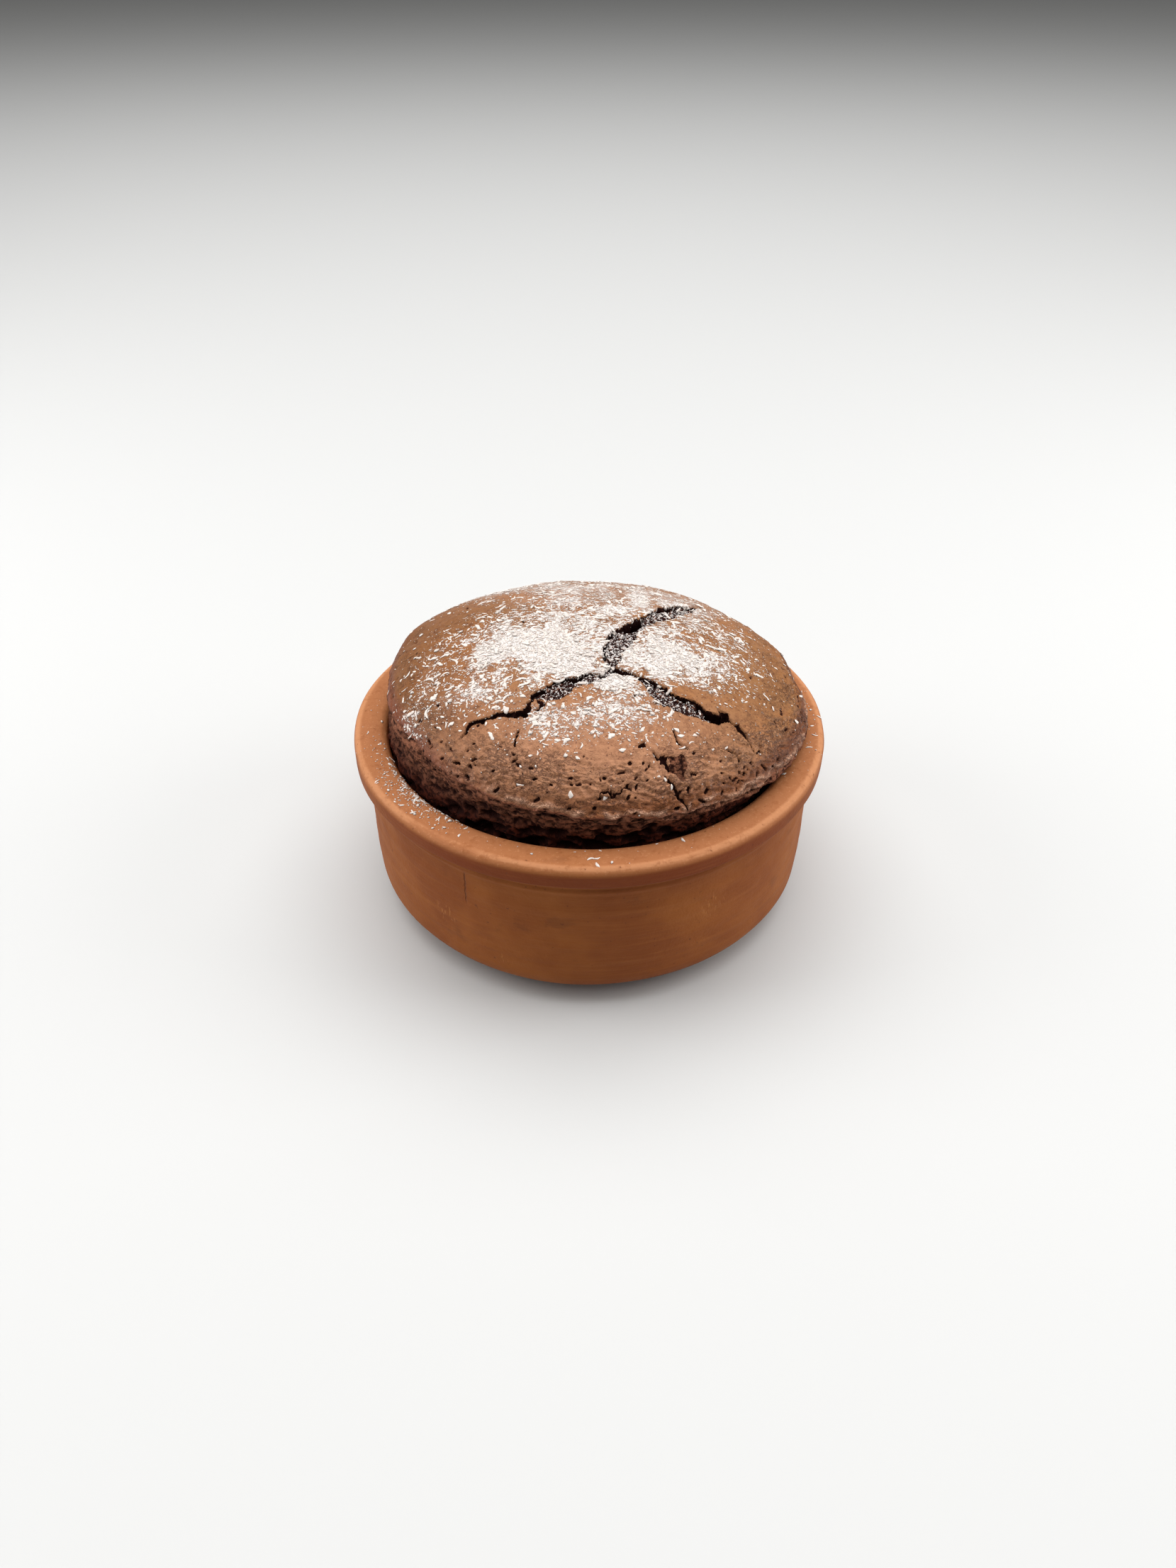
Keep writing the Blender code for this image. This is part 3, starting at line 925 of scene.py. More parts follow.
# %% Turning tree
def geometry_graph(name, kind_of_input):
    """A new geometry tree with a named input for each label. Returns its graph and a function that
    gives the signal of an input."""
    tree = bpy.data.node_groups.new(name, "GeometryNodeTree")
    tree.interface.new_socket("Geometry", in_out="OUTPUT", socket_type="NodeSocketGeometry")
    for label, kind in {"Geometry": "Geometry", **kind_of_input}.items():
        tree.interface.new_socket(label, in_out="INPUT", socket_type="NodeSocket" + kind)
    graph = Graph(tree)
    return graph, graph.node("NodeGroupInput").output


def finish_tree(graph, geometry, finish):
    """Ends a tree: no instances are left, every face is smooth and has the finish."""
    real = graph.node("GeometryNodeRealizeInstances", {0: geometry})
    rounded = graph.node("GeometryNodeSetShadeSmooth", {"Geometry": real})
    painted = graph.node("GeometryNodeSetMaterial", {"Geometry": rounded, "Material": finish})
    graph.node("NodeGroupOutput", {0: painted})
    return graph.tree


def grow(host, tree, values, name, finish):
    """Runs the tree on the host and returns the result as a plain mesh object with one finish."""
    modifier = host.modifiers.new(tree.name, "NODES")
    modifier.node_group = tree
    for item in tree.interface.items_tree:
        if item.in_out == "INPUT" and item.name in values:
            modifier[item.identifier] = values[item.name]
    evaluated = host.evaluated_get(bpy.context.evaluated_depsgraph_get())
    mesh = bpy.data.meshes.new_from_object(evaluated)
    mesh.name = name
    mesh.materials.clear()
    mesh.materials.append(finish)
    mesh.polygons.foreach_set("material_index", np.zeros(len(mesh.polygons), dtype=np.int32))
    host.modifiers.remove(modifier)
    return add_object(name, mesh)


def discard(*objects):
    """Removes helper objects that aren't part of the souffle."""
    for obj in objects:
        bpy.data.objects.remove(obj, do_unlink=True)


def round_axis(graph, radius, angle, height):
    """The place at a radius, an angle and a height."""
    return graph.place(radius * angle.math("COSINE"), radius * angle.math("SINE"), height)


def turning_tree(finish):
    """Turns the host's half section (r, 0, z) into a dish."""
    graph, given = geometry_graph("turn_on_the_wheel", {
        "Columns": "Int", "Rows": "Int", "Unevenness": "Float", "Seed": "Float",
    })
    grid = graph.node("GeometryNodeMeshGrid", {
        "Size X": 1.0, "Size Y": 1.0, "Vertices X": given("Columns") + 1, "Vertices Y": given("Rows"),
    })
    position = graph.node("GeometryNodeInputPosition")
    column, row, _ = graph.axes(position)
    angle = (column + 0.5) * math.tau
    outline = graph.node("GeometryNodeSampleIndex", {
        "Geometry": given("Geometry"), "Value": position,
        "Index": ((row + 0.5) * (given("Rows") - 1)).math("ROUND"),
    }, data_type="FLOAT_VECTOR")
    radius, _, height = graph.axes(outline)
    wobble = graph.node("ShaderNodeTexNoise", {
        "Vector": round_axis(graph, radius, angle, height), "W": given("Seed"),
        "Scale": 30.0, "Detail": 1.0,
    }, noise_dimensions="4D") - 0.5
    radius = radius + wobble * given("Unevenness") * (radius / (RIM_RADIUS * MM)).math("MINIMUM", 1.0)
    height = height * (1 + wobble * 0.012)
    spot = round_axis(graph, radius, angle, height)
    turned = graph.node("GeometryNodeSetPosition", {"Geometry": grid, "Position": spot})
    closed = graph.node("GeometryNodeMergeByDistance", {"Geometry": turned, "Distance": 0.002 * MM})
    return finish_tree(graph, closed, finish)


print("the turning tree is ready to be built")

# %% [markdown]
# ## Terracotta
#
# Unglazed fired clay is matt and warm, never one flat orange. Layers of noise make it: wide clouds
# of paler and browner clay, thin bands that follow the turning, dark specks of grit, and a paler rim
# top, partly the clay's own tone and partly a painted highlight. A painted highlight line runs along
# the rim's outer edge and the bead under the neck, and painted shade darkens the rim's outer face,
# most at the front, and the inner wall. The plan coordinates are divided so that the bands change
# slowly round the pot and quickly up it. The same bands and a fine grain feed the bump.

# %% Material helpers
def srgb(red, green, blue):
    """A colour of 0 to 255 values, turned into the light that a shader works with."""
    values = [value / 255 for value in (red, green, blue)]
    return (*[v / 12.92 if v <= 0.04045 else ((v + 0.055) / 1.055) ** 2.4 for v in values], 1.0)


def new_material(name, specular):
    """A material, its graph, its Principled shader, and its object coordinates in millimetres."""
    made = bpy.data.materials.new(name)
    made.use_nodes = True
    graph = Graph(made.node_tree)
    shader = made.node_tree.nodes["Principled BSDF"]
    shader.inputs["Specular IOR Level"].default_value = specular
    metres = graph.node("ShaderNodeTexCoord", out="Object")
    place = graph.node("ShaderNodeVectorMath", {0: metres, "Scale": 1 / MM}, operation="SCALE")
    return made, graph, shader, place


def cloud(graph, place, size, detail=3.0, roughness=0.55):
    """Noise from 0 to 1 whose clouds are about that size in millimetres, or (x, y, z) sizes."""
    if isinstance(size, tuple):
        place = graph.node("ShaderNodeVectorMath", {0: place, 1: size}, operation="DIVIDE")
        size = 1.0
    sockets = {"Vector": place, "Scale": 1 / size, "Detail": detail, "Roughness": roughness}
    return graph.node("ShaderNodeTexNoise", sockets)


def finish_shader(graph, shader, colour, roughness, height, depth):
    """Feeds the colour, the roughness and a bump, whose height of 0 to 1 stands for that depth."""
    sockets = {"Height": height, "Strength": 1.0, "Distance": depth * MM}
    graph.feed(shader.inputs["Base Color"], colour)
    graph.feed(shader.inputs["Roughness"], roughness)
    graph.feed(shader.inputs["Normal"], graph.node("ShaderNodeBump", sockets))


# %% Terracotta material
CLAY = srgb(142, 79, 28)
CLAY_DEEP = srgb(126, 65, 23)
CLAY_PALE = srgb(162, 100, 49)
# paler rim top: partly the clay's own tone, partly a painted highlight from the overhead light
CLAY_RIM = srgb(162, 103, 64)
CLAY_STAIN = srgb(86, 42, 20)
# painted shade colour, for the rim's outer face and the inner wall
CLAY_SHADE = srgb(114, 50, 11)
# pale clay: a painted highlight line at the rim's outer edge, and the rim's pale grain
CLAY_EDGE = srgb(196, 138, 96)
SCRAPES = (  # x, y, z, reach
    (-40.0, -53.0, 25.0, 5.0), (34.0, -57.0, 32.0, 5.0), (-24.0, -62.0, 15.0, 3.0),
)
HAIR_X, HAIR_LOW, HAIR_HIGH = -33.6, 32.0, 44.5  # a fine crack that runs up the wall


def terracotta():
    made, graph, shader, place = new_material("fired_clay", specular=0.22)
    x, y, height = graph.axes(place)
    radius = (x ** 2.0 + y ** 2.0).math("SQRT")
    wide = cloud(graph, place, 26.0)
    bands = cloud(graph, place, (40.0, 40.0, 2.6), 4.0, 0.6)
    fine_bands = cloud(graph, place, (14.0, 14.0, 0.5), 2.0)
    grain = cloud(graph, place, 0.7, 2.0)
    grit = cloud(graph, place, 1.3, 1.0)
    soiled = cloud(graph, place, 2.6, 4.0, 0.7)
    smudge = cloud(graph, place, (16.0, 16.0, 9.0), 4.0, 0.6)
    strokes = cloud(graph, place, (0.9, 0.9, 3.2), 2.0, 0.6)
    dents = cloud(graph, place, (7.0, 7.0, 5.0), 2.0)
    # the rim's outer band, which is painted darker as shade, most at the front
    face = height.ramp(RIM_UNDERSIDE - 2.5, RIM_UNDERSIDE + 1.0) * height.ramp(RIM_TOP - 1.0, RIM_TOP - 3.0)
    on_rim = height.ramp(RIM_TOP - RIM_ROUND + 0.3, RIM_TOP - 0.6)
    # painted shade on the inner wall, under the souffle
    inner_shade = radius.ramp(INSIDE_RADIUS + 1.2, INSIDE_RADIUS + 0.2)
    # painted highlight line along the rim's outer edge
    rim_edge_highlight = radius.ramp(67.4, 68.4) * radius.ramp(69.8, 69.2) * on_rim * bands.ramp(0.35, 0.5)
    # painted highlight along the bead under the neck
    bead_highlight = (height + 1.2 * (wide - 0.5) - 45.0).math("ABSOLUTE").ramp(0.45, 0.15)
    scraped = 0.0
    for *spot, reach in SCRAPES:
        away = graph.node("ShaderNodeVectorMath", {0: place, 1: spot}, 1, operation="DISTANCE")
        scraped = scraped + away.ramp(reach, 0.4 * reach) * strokes.ramp(0.55, 0.62)
    hair = (x - HAIR_X + 1.6 * (soiled - 0.5)).math("ABSOLUTE").ramp(0.3, 0.1) * y.ramp(0.0, -10.0)
    hair = hair * height.ramp(HAIR_LOW, HAIR_LOW + 3.0) * height.ramp(HAIR_HIGH, HAIR_HIGH - 2.0)
    colour = graph.coats(
        CLAY,
        (wide.ramp(0.35, 0.68), CLAY_DEEP),
        (bands.ramp(0.5, 0.8) * 0.25, CLAY_PALE),
        (bands.ramp(0.42, 0.2) * 0.25, CLAY_DEEP),
        # painted shade on the rim's outer face, strongest at the front
        (face * (0.4 + 0.55 * y.ramp(-35.0, -62.0)), CLAY_SHADE),
        # rim top: the clay's own paler tone with a painted highlight
        (on_rim * (0.7 + 0.3 * wide), CLAY_RIM),
        (inner_shade * 0.95, CLAY_SHADE),
        (rim_edge_highlight * 0.5, CLAY_EDGE),
        (on_rim * soiled.ramp(0.5, 0.7) * 0.4, CLAY_DEEP),
        (on_rim * grain.ramp(0.58, 0.7) * 0.3, CLAY_EDGE),
        (bead_highlight * bands.ramp(0.4, 0.55) * 0.3, CLAY_PALE),
        (smudge.ramp(0.6, 0.72) * 0.3, CLAY_STAIN),
        (grit.ramp(0.73, 0.78) * 0.55, CLAY_STAIN),
        (fine_bands.ramp(0.45, 0.75) * 0.12, CLAY_PALE),
        (scraped * 0.7, CLAY_PALE),
        (hair * 0.6, CLAY_STAIN),
    )
    relief = 0.25 * fine_bands + 0.5 * grain + 0.3 * bands + 2.0 * dents - 0.4 * scraped - hair
    finish_shader(graph, shader, colour, 0.62 + 0.2 * wide, relief, 0.2)
    return made


clay = terracotta()
print("made", clay.name)

# %% Turn the dish
dish = grow(half_section, turning_tree(clay), {
    "Columns": 336, "Rows": len(half_outline), "Unevenness": 1.0 * MM, "Seed": 4.0,
}, "oven_dish", clay)
discard(half_section)
print("dish:", triangles(dish), "triangles,", [round(v / MM, 1) for v in dish.dimensions], "mm")

# %% [markdown]
# ## Baked chocolate
#
# Three finishes share this material: the set skin, milk-brown where the oven dried it, browner
# where it folds over the lip and darker towards the left and low at the sides, with its front painted
# lighter as painted light, painted highlights along the lip and painted shade in its folds, creases
# and under its edge; the raw crumb in the tear and under the lip, with painted shade that turns it
# nearly black in its hollows, pores, caves and lower reaches; and the fine dust, which lies as grains
# that merge where it is thick. The numbers that the meshes carry say where each one shows, and noise
# breaks their borders.

# %% Baked chocolate material
SKIN = srgb(139, 96, 60)
SKIN_WARM = srgb(149, 97, 53)
SKIN_GREY = srgb(136, 98, 70)
SKIN_DARK = srgb(100, 56, 34)
# painted light: the front of the crown is painted lighter
SKIN_FRONT_LIT = srgb(171, 121, 89)
SKIN_LOW = srgb(122, 68, 32)
# darker skin towards the left
SKIN_LEFT_DARKER = srgb(104, 62, 34)
# painted highlight colour for the crumpled lip
SKIN_HIGHLIGHT = srgb(226, 176, 146)
# painted shade where the skin rolls under its edge
SKIN_UNDER_SHADE = srgb(122, 66, 46)
SPECK = srgb(76, 32, 18)
CRUMB = srgb(134, 86, 64)
# painted shade: the crumb darker and redder lower down, towards the gap
CRUMB_LOW_SHADE = srgb(98, 42, 26)
# nearly black: the crumb's own dark mottle, and painted shade in hollows, pores and the gap
CRUMB_DARK = srgb(36, 12, 8)
DUST = srgb(212, 205, 201)


def carried(graph, name):
    """A number that the mesh carries for each point."""
    return graph.node("ShaderNodeAttribute", out="Fac", attribute_name=name)


def warped(graph, place, size, amount):
    """The coordinates pushed about by clouds of that size, so that a regular pattern turns wild."""
    sockets = {"Vector": place, "Scale": 1 / size, "Detail": 2.0}
    clouds = graph.node("ShaderNodeTexNoise", sockets, out="Color")
    sockets = {0: clouds, 1: (amount,) * 3, 2: place}
    return graph.node("ShaderNodeVectorMath", sockets, operation="MULTIPLY_ADD")


def lines(graph, place, size, width):
    """1 on thin wandering lines, where noise crosses its middle value, and 0 elsewhere."""
    return (cloud(graph, place, size, 3.0, 0.6) - 0.5).math("ABSOLUTE").ramp(width, 0.2 * width)


def baked_chocolate():
    made, graph, shader, place = new_material("baked_chocolate", specular=0.08)
    names = ("raw", "dust", "front", "deep", "lip", "under", "down", "along")
    raw, dust, front, deep, lip, under, down, along = (carried(graph, name) for name in names)
    x, y, height = graph.axes(place)
    wide = cloud(graph, place, 22.0)
    patches = cloud(graph, place, 6.0, 4.0, 0.65)
    mottle = cloud(graph, place, 1.7, 4.0, 0.7)
    grain = cloud(graph, place, 0.45, 2.0)
    lay = warped(graph, graph.place(along, down), 3.0, 3.0)
    folds = cloud(graph, lay, (2.2, 1.0, 1.0), 3.0, 0.6)
    creases = lines(graph, lay, (2.4, 1.0, 1.0), 0.07) * patches.ramp(0.35, 0.6)
    crinkles = lines(graph, lay, (2.2, 0.6, 1.0), 0.10)
    fissures = lines(graph, place, 3.2, 0.02) * patches.ramp(0.5, 0.62)
    # painted shade in the front creases, and the skin's own dark fine fissures
    crease_shade_and_fissures = (front * creases * 0.7 + fissures * 0.5).math("MINIMUM", 1.0)
    skin = graph.coats(
        SKIN,
        (wide.ramp(0.4, 0.65), SKIN_WARM),
        (patches.ramp(0.45, 0.75) * 0.45, SKIN_GREY),
        # painted light on the front of the crown
        (y.ramp(-14.0, -50.0) * (0.9 - 0.35 * x.ramp(20.0, 45.0)), SKIN_FRONT_LIT),
        # darker towards the left
        (x.ramp(-12.0, -48.0) * 0.4, SKIN_LEFT_DARKER),
        (down.ramp(60.5, 67.5) * x.ramp(-45.0, 15.0) * front * 0.85, SKIN_LOW),
        # darker low on both sides of the crown
        (down.ramp(61.5, 66.0) * x.math("ABSOLUTE").ramp(36.0, 52.0) * 0.65, SKIN_DARK),
        (mottle.ramp(0.6, 0.3) * (0.52 - 0.27 * front), SKIN_DARK),
        # painted shade in the troughs of the folds
        (front * folds.ramp(0.5, 0.3) * 0.2, SKIN_DARK),
        # painted shade under the skin's edge, and a darker band near the edge on the left
        (under * 0.8, SKIN_UNDER_SHADE),
        # painted highlights on the lip's crinkles and the thin edge
        (lip * (0.25 + 0.55 * crinkles), SKIN_HIGHLIGHT),
        # painted shade in the creases, and dark fissures
        (crease_shade_and_fissures * 0.6, SPECK),
        (cloud(graph, place, 0.8, 1.0).ramp(0.64, 0.70) * 0.55, SPECK),
    )
    pocks = cloud(graph, place, (1.7, 1.7, 1.1), 3.0, 0.6)
    crumb = graph.coats(
        CRUMB,
        # painted shade lower down on the crumb
        (height.ramp(62.0, 55.0), CRUMB_LOW_SHADE),
        # painted shade on the crumb under the left of the lip
        (height.ramp(66.0, 60.0) * x.ramp(5.0, -35.0) * 0.5, CRUMB_DARK),
        (mottle.ramp(0.6, 0.3) * 0.8, CRUMB_DARK),
        # painted shade where the mesh says the crumb lies deep
        (deep.ramp(0.05, 0.7), CRUMB_DARK),
        # painted shade in the crumb's pores
        (pocks.ramp(0.54, 0.62) * 0.85, CRUMB_DARK),
    )
    torn = (raw + (mottle - 0.5) * 0.4).ramp(0.42, 0.52)
    strokes = cloud(graph, warped(graph, place, 2.0, 1.5), (1.5, 0.9, 1.0), 2.0, 0.6)
    grains = cloud(graph, place, 0.42, 2.0, 0.6)
    clots = cloud(graph, place, 0.65, 2.0, 0.6)
    loose = (strokes - 0.5) * (1.3 - 1.1 * torn) + (grains - 0.5) * (0.5 + 0.7 * torn) + (clots - 0.46) * torn
    heap = dust * (0.45 + 0.2 * dust) + loose
    powder = heap.ramp(0.27, 0.31) * dust.ramp(0.02, 0.12)
    haze = (y.ramp(10.0, 36.0) * dust * 0.7 + dust * dust * 0.45) * (1 - torn) * (0.5 + strokes)
    colour = graph.coats(skin, (torn, crumb), (haze + (1 - haze) * powder, DUST))
    roughness = 0.5 + 0.15 * patches + 0.3 * torn
    roughness = roughness + (0.9 - roughness) * powder
    graph.feed(shader.inputs["Coat Weight"], (1 - torn) * (1 - powder) * (0.06 + 0.13 * front))
    shader.inputs["Coat Roughness"].default_value = 0.38
    relief = 0.6 * mottle + 0.3 * grain + 0.25 * powder + torn * (0.5 * mottle - 0.8 * pocks.ramp(0.5, 0.62))
    relief = relief + front * (0.9 * folds - 1.1 * creases) - 0.5 * fissures + lip * crinkles
    finish_shader(graph, shader, colour, roughness, relief, 0.45)
    return made


chocolate = baked_chocolate()
for piece in (crown, crumb, side):
    piece.data.materials.append(chocolate)
print("made", chocolate.name)

# %% [markdown]
# ## The topping
#
# The coarse topping is grated: curls, splinters and chips from half a millimetre to four
# millimetres, with fine grains between them. Geometry Nodes strew such thousands of small things: a
# host mesh carries the dust number, points are spread over it in that proportion, and each gets one
# of a few simple shapes, turned and scaled at random and laid along the surface. The tree makes
# them real, because an export keeps no instances.

# %% Shapes of the topping
SECTION = ((0.5, 0.45), (0.27, 1.0), (-0.27, 1.0), (-0.5, 0.45), (0.0, 0.0))  # across, up


def strand(name, seed, length, width, thick, bend, taper=0.6, stations=6):
    """A flat splinter: a row of five-sided sections joined into a curved sliver with ragged sides."""
    draw = np.random.default_rng(seed)
    points = []
    for i in range(stations):
        share = i / (stations - 1)
        full = 0.15 + 0.85 * math.sin(math.pi * (0.06 + 0.88 * share)) ** taper
        full *= draw.uniform(0.7, 1.2)
        along = (share - 0.5) * length
        aside = bend * (1 - (2 * share - 1) ** 2) + 0.18 * width * draw.uniform(-1, 1)
        for across, up in SECTION:
            points.append((along, aside + across * width * full, up * thick * (0.4 + 0.6 * full)))
    number = np.arange(len(points)).reshape(-1, 5)
    quads = ring_quads(number)[:, [0, 3, 2, 1]]
    faces = [number[0, ::-1].tolist(), number[-1].tolist(), *quads.tolist()]
    return mesh_object(name, np.array(points), faces)


def chip(name, seed, long, wide, thick):
    """An irregular crumb: a ten-sided lump with a random pull on each corner."""
    draw = np.random.default_rng(seed)
    ring = [(math.cos(a), math.sin(a), 0.0) for a in np.linspace(0, math.tau, 5, endpoint=False)]
    points = np.array([(0, 0, 0.9), *ring, (0, 0, -0.7)]) * draw.uniform(0.65, 1.25, (7, 1))
    points = points * (long / 2, wide / 2, thick / 2) + (0, 0, thick / 2)
    faces = [(0, 1 + i, 1 + (i + 1) % 5) for i in range(5)]
    faces += [(6, 1 + (i + 1) % 5, 1 + i) for i in range(5)]
    return mesh_object(name, points, faces)


def shape_set(name, *shapes):
    """A collection of shapes for the scattering to choose from, kept out of the scene."""
    collection = bpy.data.collections.new(name)
    for shape in shapes:
        bpy.context.scene.collection.objects.unlink(shape)
        collection.objects.link(shape)
    print(name, "come in", len(shapes), "shapes")
    return collection


curls = shape_set(
    "curls",
    strand("curl_a", 31, 2.6, 1.00, 0.22, 0.25, 0.7),
    strand("curl_b", 32, 2.0, 1.15, 0.22, 0.10, 0.9),
    strand("curl_c", 33, 3.0, 0.70, 0.20, -0.65),
    strand("curl_d", 34, 1.7, 1.05, 0.22, 0.15, 1.1),
    chip("chip_e", 11, 1.8, 1.3, 0.40),
    strand("curl_f", 35, 2.7, 0.55, 0.20, -0.10),
)
shavings = shape_set(
    "shavings",
    strand("shaving_a", 36, 1.5, 0.65, 0.18, 0.20, 0.8, 4),
    strand("shaving_b", 37, 1.2, 0.75, 0.18, -0.1, 1.0, 4),
    chip("shaving_c", 12, 1.2, 0.8, 0.26),
    chip("shaving_d", 13, 0.9, 0.65, 0.26),
    strand("shaving_e", 38, 1.7, 0.42, 0.18, -0.20, 0.6, 4),
    chip("shaving_f", 14, 1.3, 0.75, 0.25),
)
grains = shape_set("grains", *[chip(f"grain_{i}", 20 + i, 0.5, 0.4, 0.22) for i in range(4)])

# %% Scattering tree
def scattering_tree(finish):
    graph, given = geometry_graph("strew", {
        "Shapes": "Collection", "Most per square metre": "Float", "Thinning": "Float",
        "Smallest": "Float", "Largest": "Float", "Lean": "Float", "Sink": "Float", "Seed": "Int",
    })
    thick = graph.node("GeometryNodeInputNamedAttribute", {"Name": "dust"}, data_type="FLOAT")
    spread = graph.node("GeometryNodeDistributePointsOnFaces", {
        "Mesh": given("Geometry"), "Density": given("Most per square metre") * thick ** given("Thinning"),
        "Seed": given("Seed"),
    }, distribute_method="RANDOM")
    lean = given("Lean")
    spin = graph.node("FunctionNodeRandomValue", {
        "Min": graph.place(0 - lean, 0 - lean, -math.pi), "Max": graph.place(lean, lean, math.pi),
        "Seed": given("Seed") + 1,
    }, data_type="FLOAT_VECTOR")
    turned = graph.node("FunctionNodeRotateRotation", {
        "Rotation": spread.output("Rotation"), "Rotate By": spin,
    }, rotation_space="LOCAL")
    size = graph.node("FunctionNodeRandomValue", {
        2: given("Smallest"), 3: given("Largest"), "Seed": given("Seed") + 2,
    }, 1, data_type="FLOAT")
    shapes = graph.node("GeometryNodeCollectionInfo", {
        "Collection": given("Shapes"), "Separate Children": True, "Reset Children": True,
    })
    sunk = graph.node("ShaderNodeVectorMath", {
        0: spread.output("Normal"), "Scale": 0 - given("Sink"),
    }, operation="SCALE")
    laid = graph.node("GeometryNodeSetPosition", {"Geometry": spread, "Offset": sunk})
    placed = graph.node("GeometryNodeInstanceOnPoints", {
        "Points": laid, "Instance": shapes, "Pick Instance": True, "Rotation": turned, "Scale": size,
    })
    return finish_tree(graph, placed, finish)


print("the scattering tree is ready to be built")

# %% [markdown]
# ## White finish and the hosts
#
# The flakes are white with a hint of cream. Three hosts carry the dust number that they are strewn
# by: the crown, the torn crumb, where few stay, and the dish's rim, where a sprinkle fell too: most
# of it on the left, a few grains in front and on the right.

# %% White flakes material
def white_flakes():
    made, graph, shader, place = new_material("white_flakes", specular=0.2)
    shade = cloud(graph, place, 1.1, 2.0)
    colour = graph.coats(srgb(221, 212, 205), (shade.ramp(0.3, 0.7), srgb(209, 197, 188)))
    finish_shader(graph, shader, colour, 0.5 + 0.25 * shade, cloud(graph, place, 0.3, 1.0), 0.05)
    return made


flake_finish = white_flakes()
print("made", flake_finish.name)

# %% Hosts
RIM_PATCHES = (  # angle round the rim in degrees, reach in degrees, radius, reach in mm, amount
    (-142, 14, 61.4, 1.1, 1.3), (-150, 20, 63.5, 2.4, 0.10), (-165, 22, 65.0, 3.4, 0.07),
    (-90, 26, 63.5, 2.6, 0.07), (-8, 18, 65.0, 2.6, 0.22), (30, 40, 65.0, 3.0, 0.04),
)


def rim_dust(points):
    """How thick the sprinkle lies on the rim's upward face."""
    radius = np.hypot(points[:, 0], points[:, 1])
    angle = np.degrees(np.arctan2(points[:, 1], points[:, 0]))
    thick = np.zeros(len(points))
    for middle, reach, ring, width, amount in RIM_PATCHES:
        aside = (angle - middle + 180) % 360 - 180
        thick += amount * bell(aside, 0, reach) * bell(radius, ring, width)
    return thick * (points[:, 2] > RIM_TOP - 1.6) * (radius > INSIDE_RADIUS)


def mesh_arrays(obj):
    """An object's points in millimetres and its faces."""
    points = np.empty(len(obj.data.vertices) * 3)
    obj.data.vertices.foreach_get("co", points)
    return points.reshape(-1, 3) / MM, [tuple(face.vertices) for face in obj.data.polygons]


crown_points_moved, crown_quads, _, crown_numbers = crown_parts
dish_points, dish_faces = mesh_arrays(dish)
dish_dust = rim_dust(dish_points)
dusted = [face for face in dish_faces if dish_dust[list(face)].max() > 0]
hosts = [mesh_object(name, points, faces, {"dust": dust}) for name, points, faces, dust in (
    ("crown_host", crown_points_moved, crown_quads.tolist(), crown_numbers["dust"]),
    ("crumb_host", crumb_points, crumb_quads.tolist(), 0.25 * crumb_numbers["dust"]),
    ("rim_host", dish_points, dusted, dish_dust),
)]
print("the rim's dusted part has", len(dusted), "faces")

# %% Strew the topping
STREWN = (  # piece, shapes, most per square metre, thinning, smallest, largest, lean, sink, seed, on rim
    ("topping_curls", curls, 0.25e6, 0.8, 0.55, 1.3, 0.10, 0.05, 3, 0.2),
    ("topping_shavings", shavings, 0.95e6, 1.1, 0.45, 1.25, 0.14, 0.04, 5, 0.8),
    ("topping_grains", grains, 3.9e6, 1.15, 0.45, 1.3, 0.3, 0.04, 8, 0.6),
)
strew = scattering_tree(flake_finish)


def join(name, objects):
    """Joins mesh objects into one new object and removes them."""
    points, faces, start = [], [], 0
    for obj in objects:
        own_points, own_faces = mesh_arrays(obj)
        points.append(own_points)
        faces += [tuple(start + k for k in face) for face in own_faces]
        start += len(own_points)
    joined = mesh_object(name, np.concatenate(points), faces)
    joined.data.materials.append(flake_finish)
    discard(*objects)
    return joined


topping = []
for name, shapes, most, thinning, smallest, largest, lean, sink, seed, on_rim in STREWN:
    values = {
        "Shapes": shapes, "Thinning": thinning, "Smallest": smallest, "Largest": largest,
        "Lean": lean, "Sink": sink * MM, "Seed": seed,
    }
    parts = []
    for host, share in zip(hosts, (1, 1, on_rim)):
        values["Most per square metre"] = most * share
        parts.append(grow(host, strew, values, name + "_part", flake_finish))
    topping.append(join(name, parts))
    discard(*shapes.objects)
    bpy.data.collections.remove(shapes)
    print(name, triangles(topping[-1]), "triangles")
discard(*hosts)

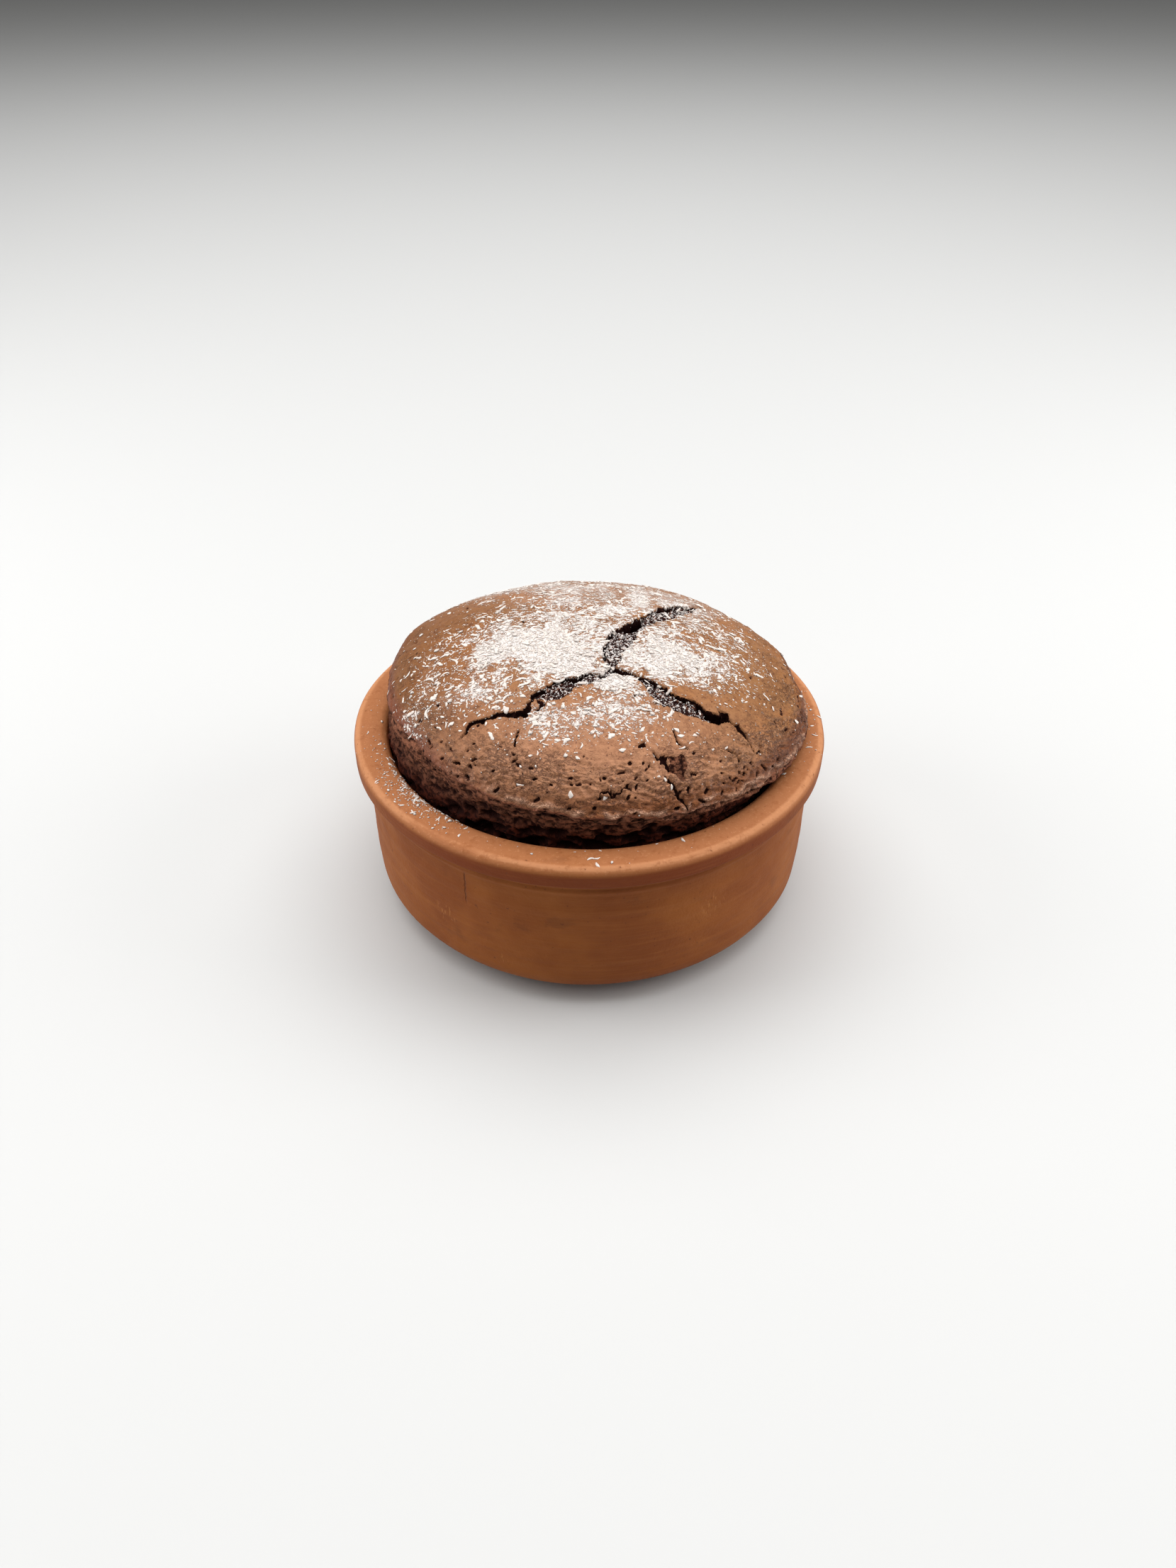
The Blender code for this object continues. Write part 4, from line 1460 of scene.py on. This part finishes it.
# %% [markdown]
# ## Table and light
#
# The table is one pale, matt sheet that runs past the camera's view. The light is a soft white
# tent: a wide panel overhead and a little behind, two panels at the sides, and a faint one in
# front, so the front of the dish stays in a soft shade and the rim catches the light.

# %% Table
TABLE_HALF = 3000.0

corners = np.array([(-1, -1, 0), (1, -1, 0), (1, 1, 0), (-1, 1, 0)]) * TABLE_HALF
floor = mesh_object("table", corners, [(0, 1, 2, 3)])
table_finish, _, table_shader, _ = new_material("pale_table", specular=0.2)
table_shader.inputs["Base Color"].default_value = srgb(196, 196, 195)
table_shader.inputs["Roughness"].default_value = 0.7
floor.data.materials.append(table_finish)
print("the table is", 2 * TABLE_HALF / 1000, "m wide")

# %% Lights
LIGHTS = (  # name, place, width, height, watts
    ("overhead", (0, 400, 1500), 2400, 1900, 42.0),
    ("fill", (0, -500, 900), 500, 500, 1.5),
    ("left", (-800, 0, 300), 500, 800, 5.1),
    ("right", (800, 0, 300), 500, 800, 5.4),
)
LIT = (0, 0, 50)  # the place that every light faces

for name, place, width, height, watts in LIGHTS:
    data = bpy.data.lights.new(name, "AREA")
    data.shape = "RECTANGLE"
    data.size, data.size_y = width * MM, height * MM
    data.energy = watts
    x, y, z = np.array(LIT) - place
    panel = add_object(name, data)
    panel.location = [value * MM for value in place]
    panel.rotation_euler = (math.acos(-z / math.hypot(x, y, z)), 0.0, math.atan2(-x, y))
world = bpy.data.worlds.new("studio")
world.use_nodes = True
sky = world.node_tree.nodes["Background"].inputs
sky["Color"].default_value = srgb(240, 240, 238)
sky["Strength"].default_value = 0.18
bpy.context.scene.world = world
bpy.context.scene.view_settings.view_transform = "Standard"
print(len(LIGHTS), "soft panels")

# %% [markdown]
# ## Ride and replace
#
# Every piece rides on the one body, and the plain solids that the pieces stand for are hidden. The
# table is marked as backdrop, and the solids' box and the fine surfaces' box are printed.

# %% Ride and replace
for piece in (crown, crumb, side, dish, *topping):
    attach(piece, "root")
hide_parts("dish")
for piece in (crown, crumb, side):
    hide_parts("souffle")
floor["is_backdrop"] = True
boxes = {"cad": cad_box, "visual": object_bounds()}
for name, box in boxes.items():
    print(name, "box", [[round(v / MM, 1) for v in corner] for corner in box])
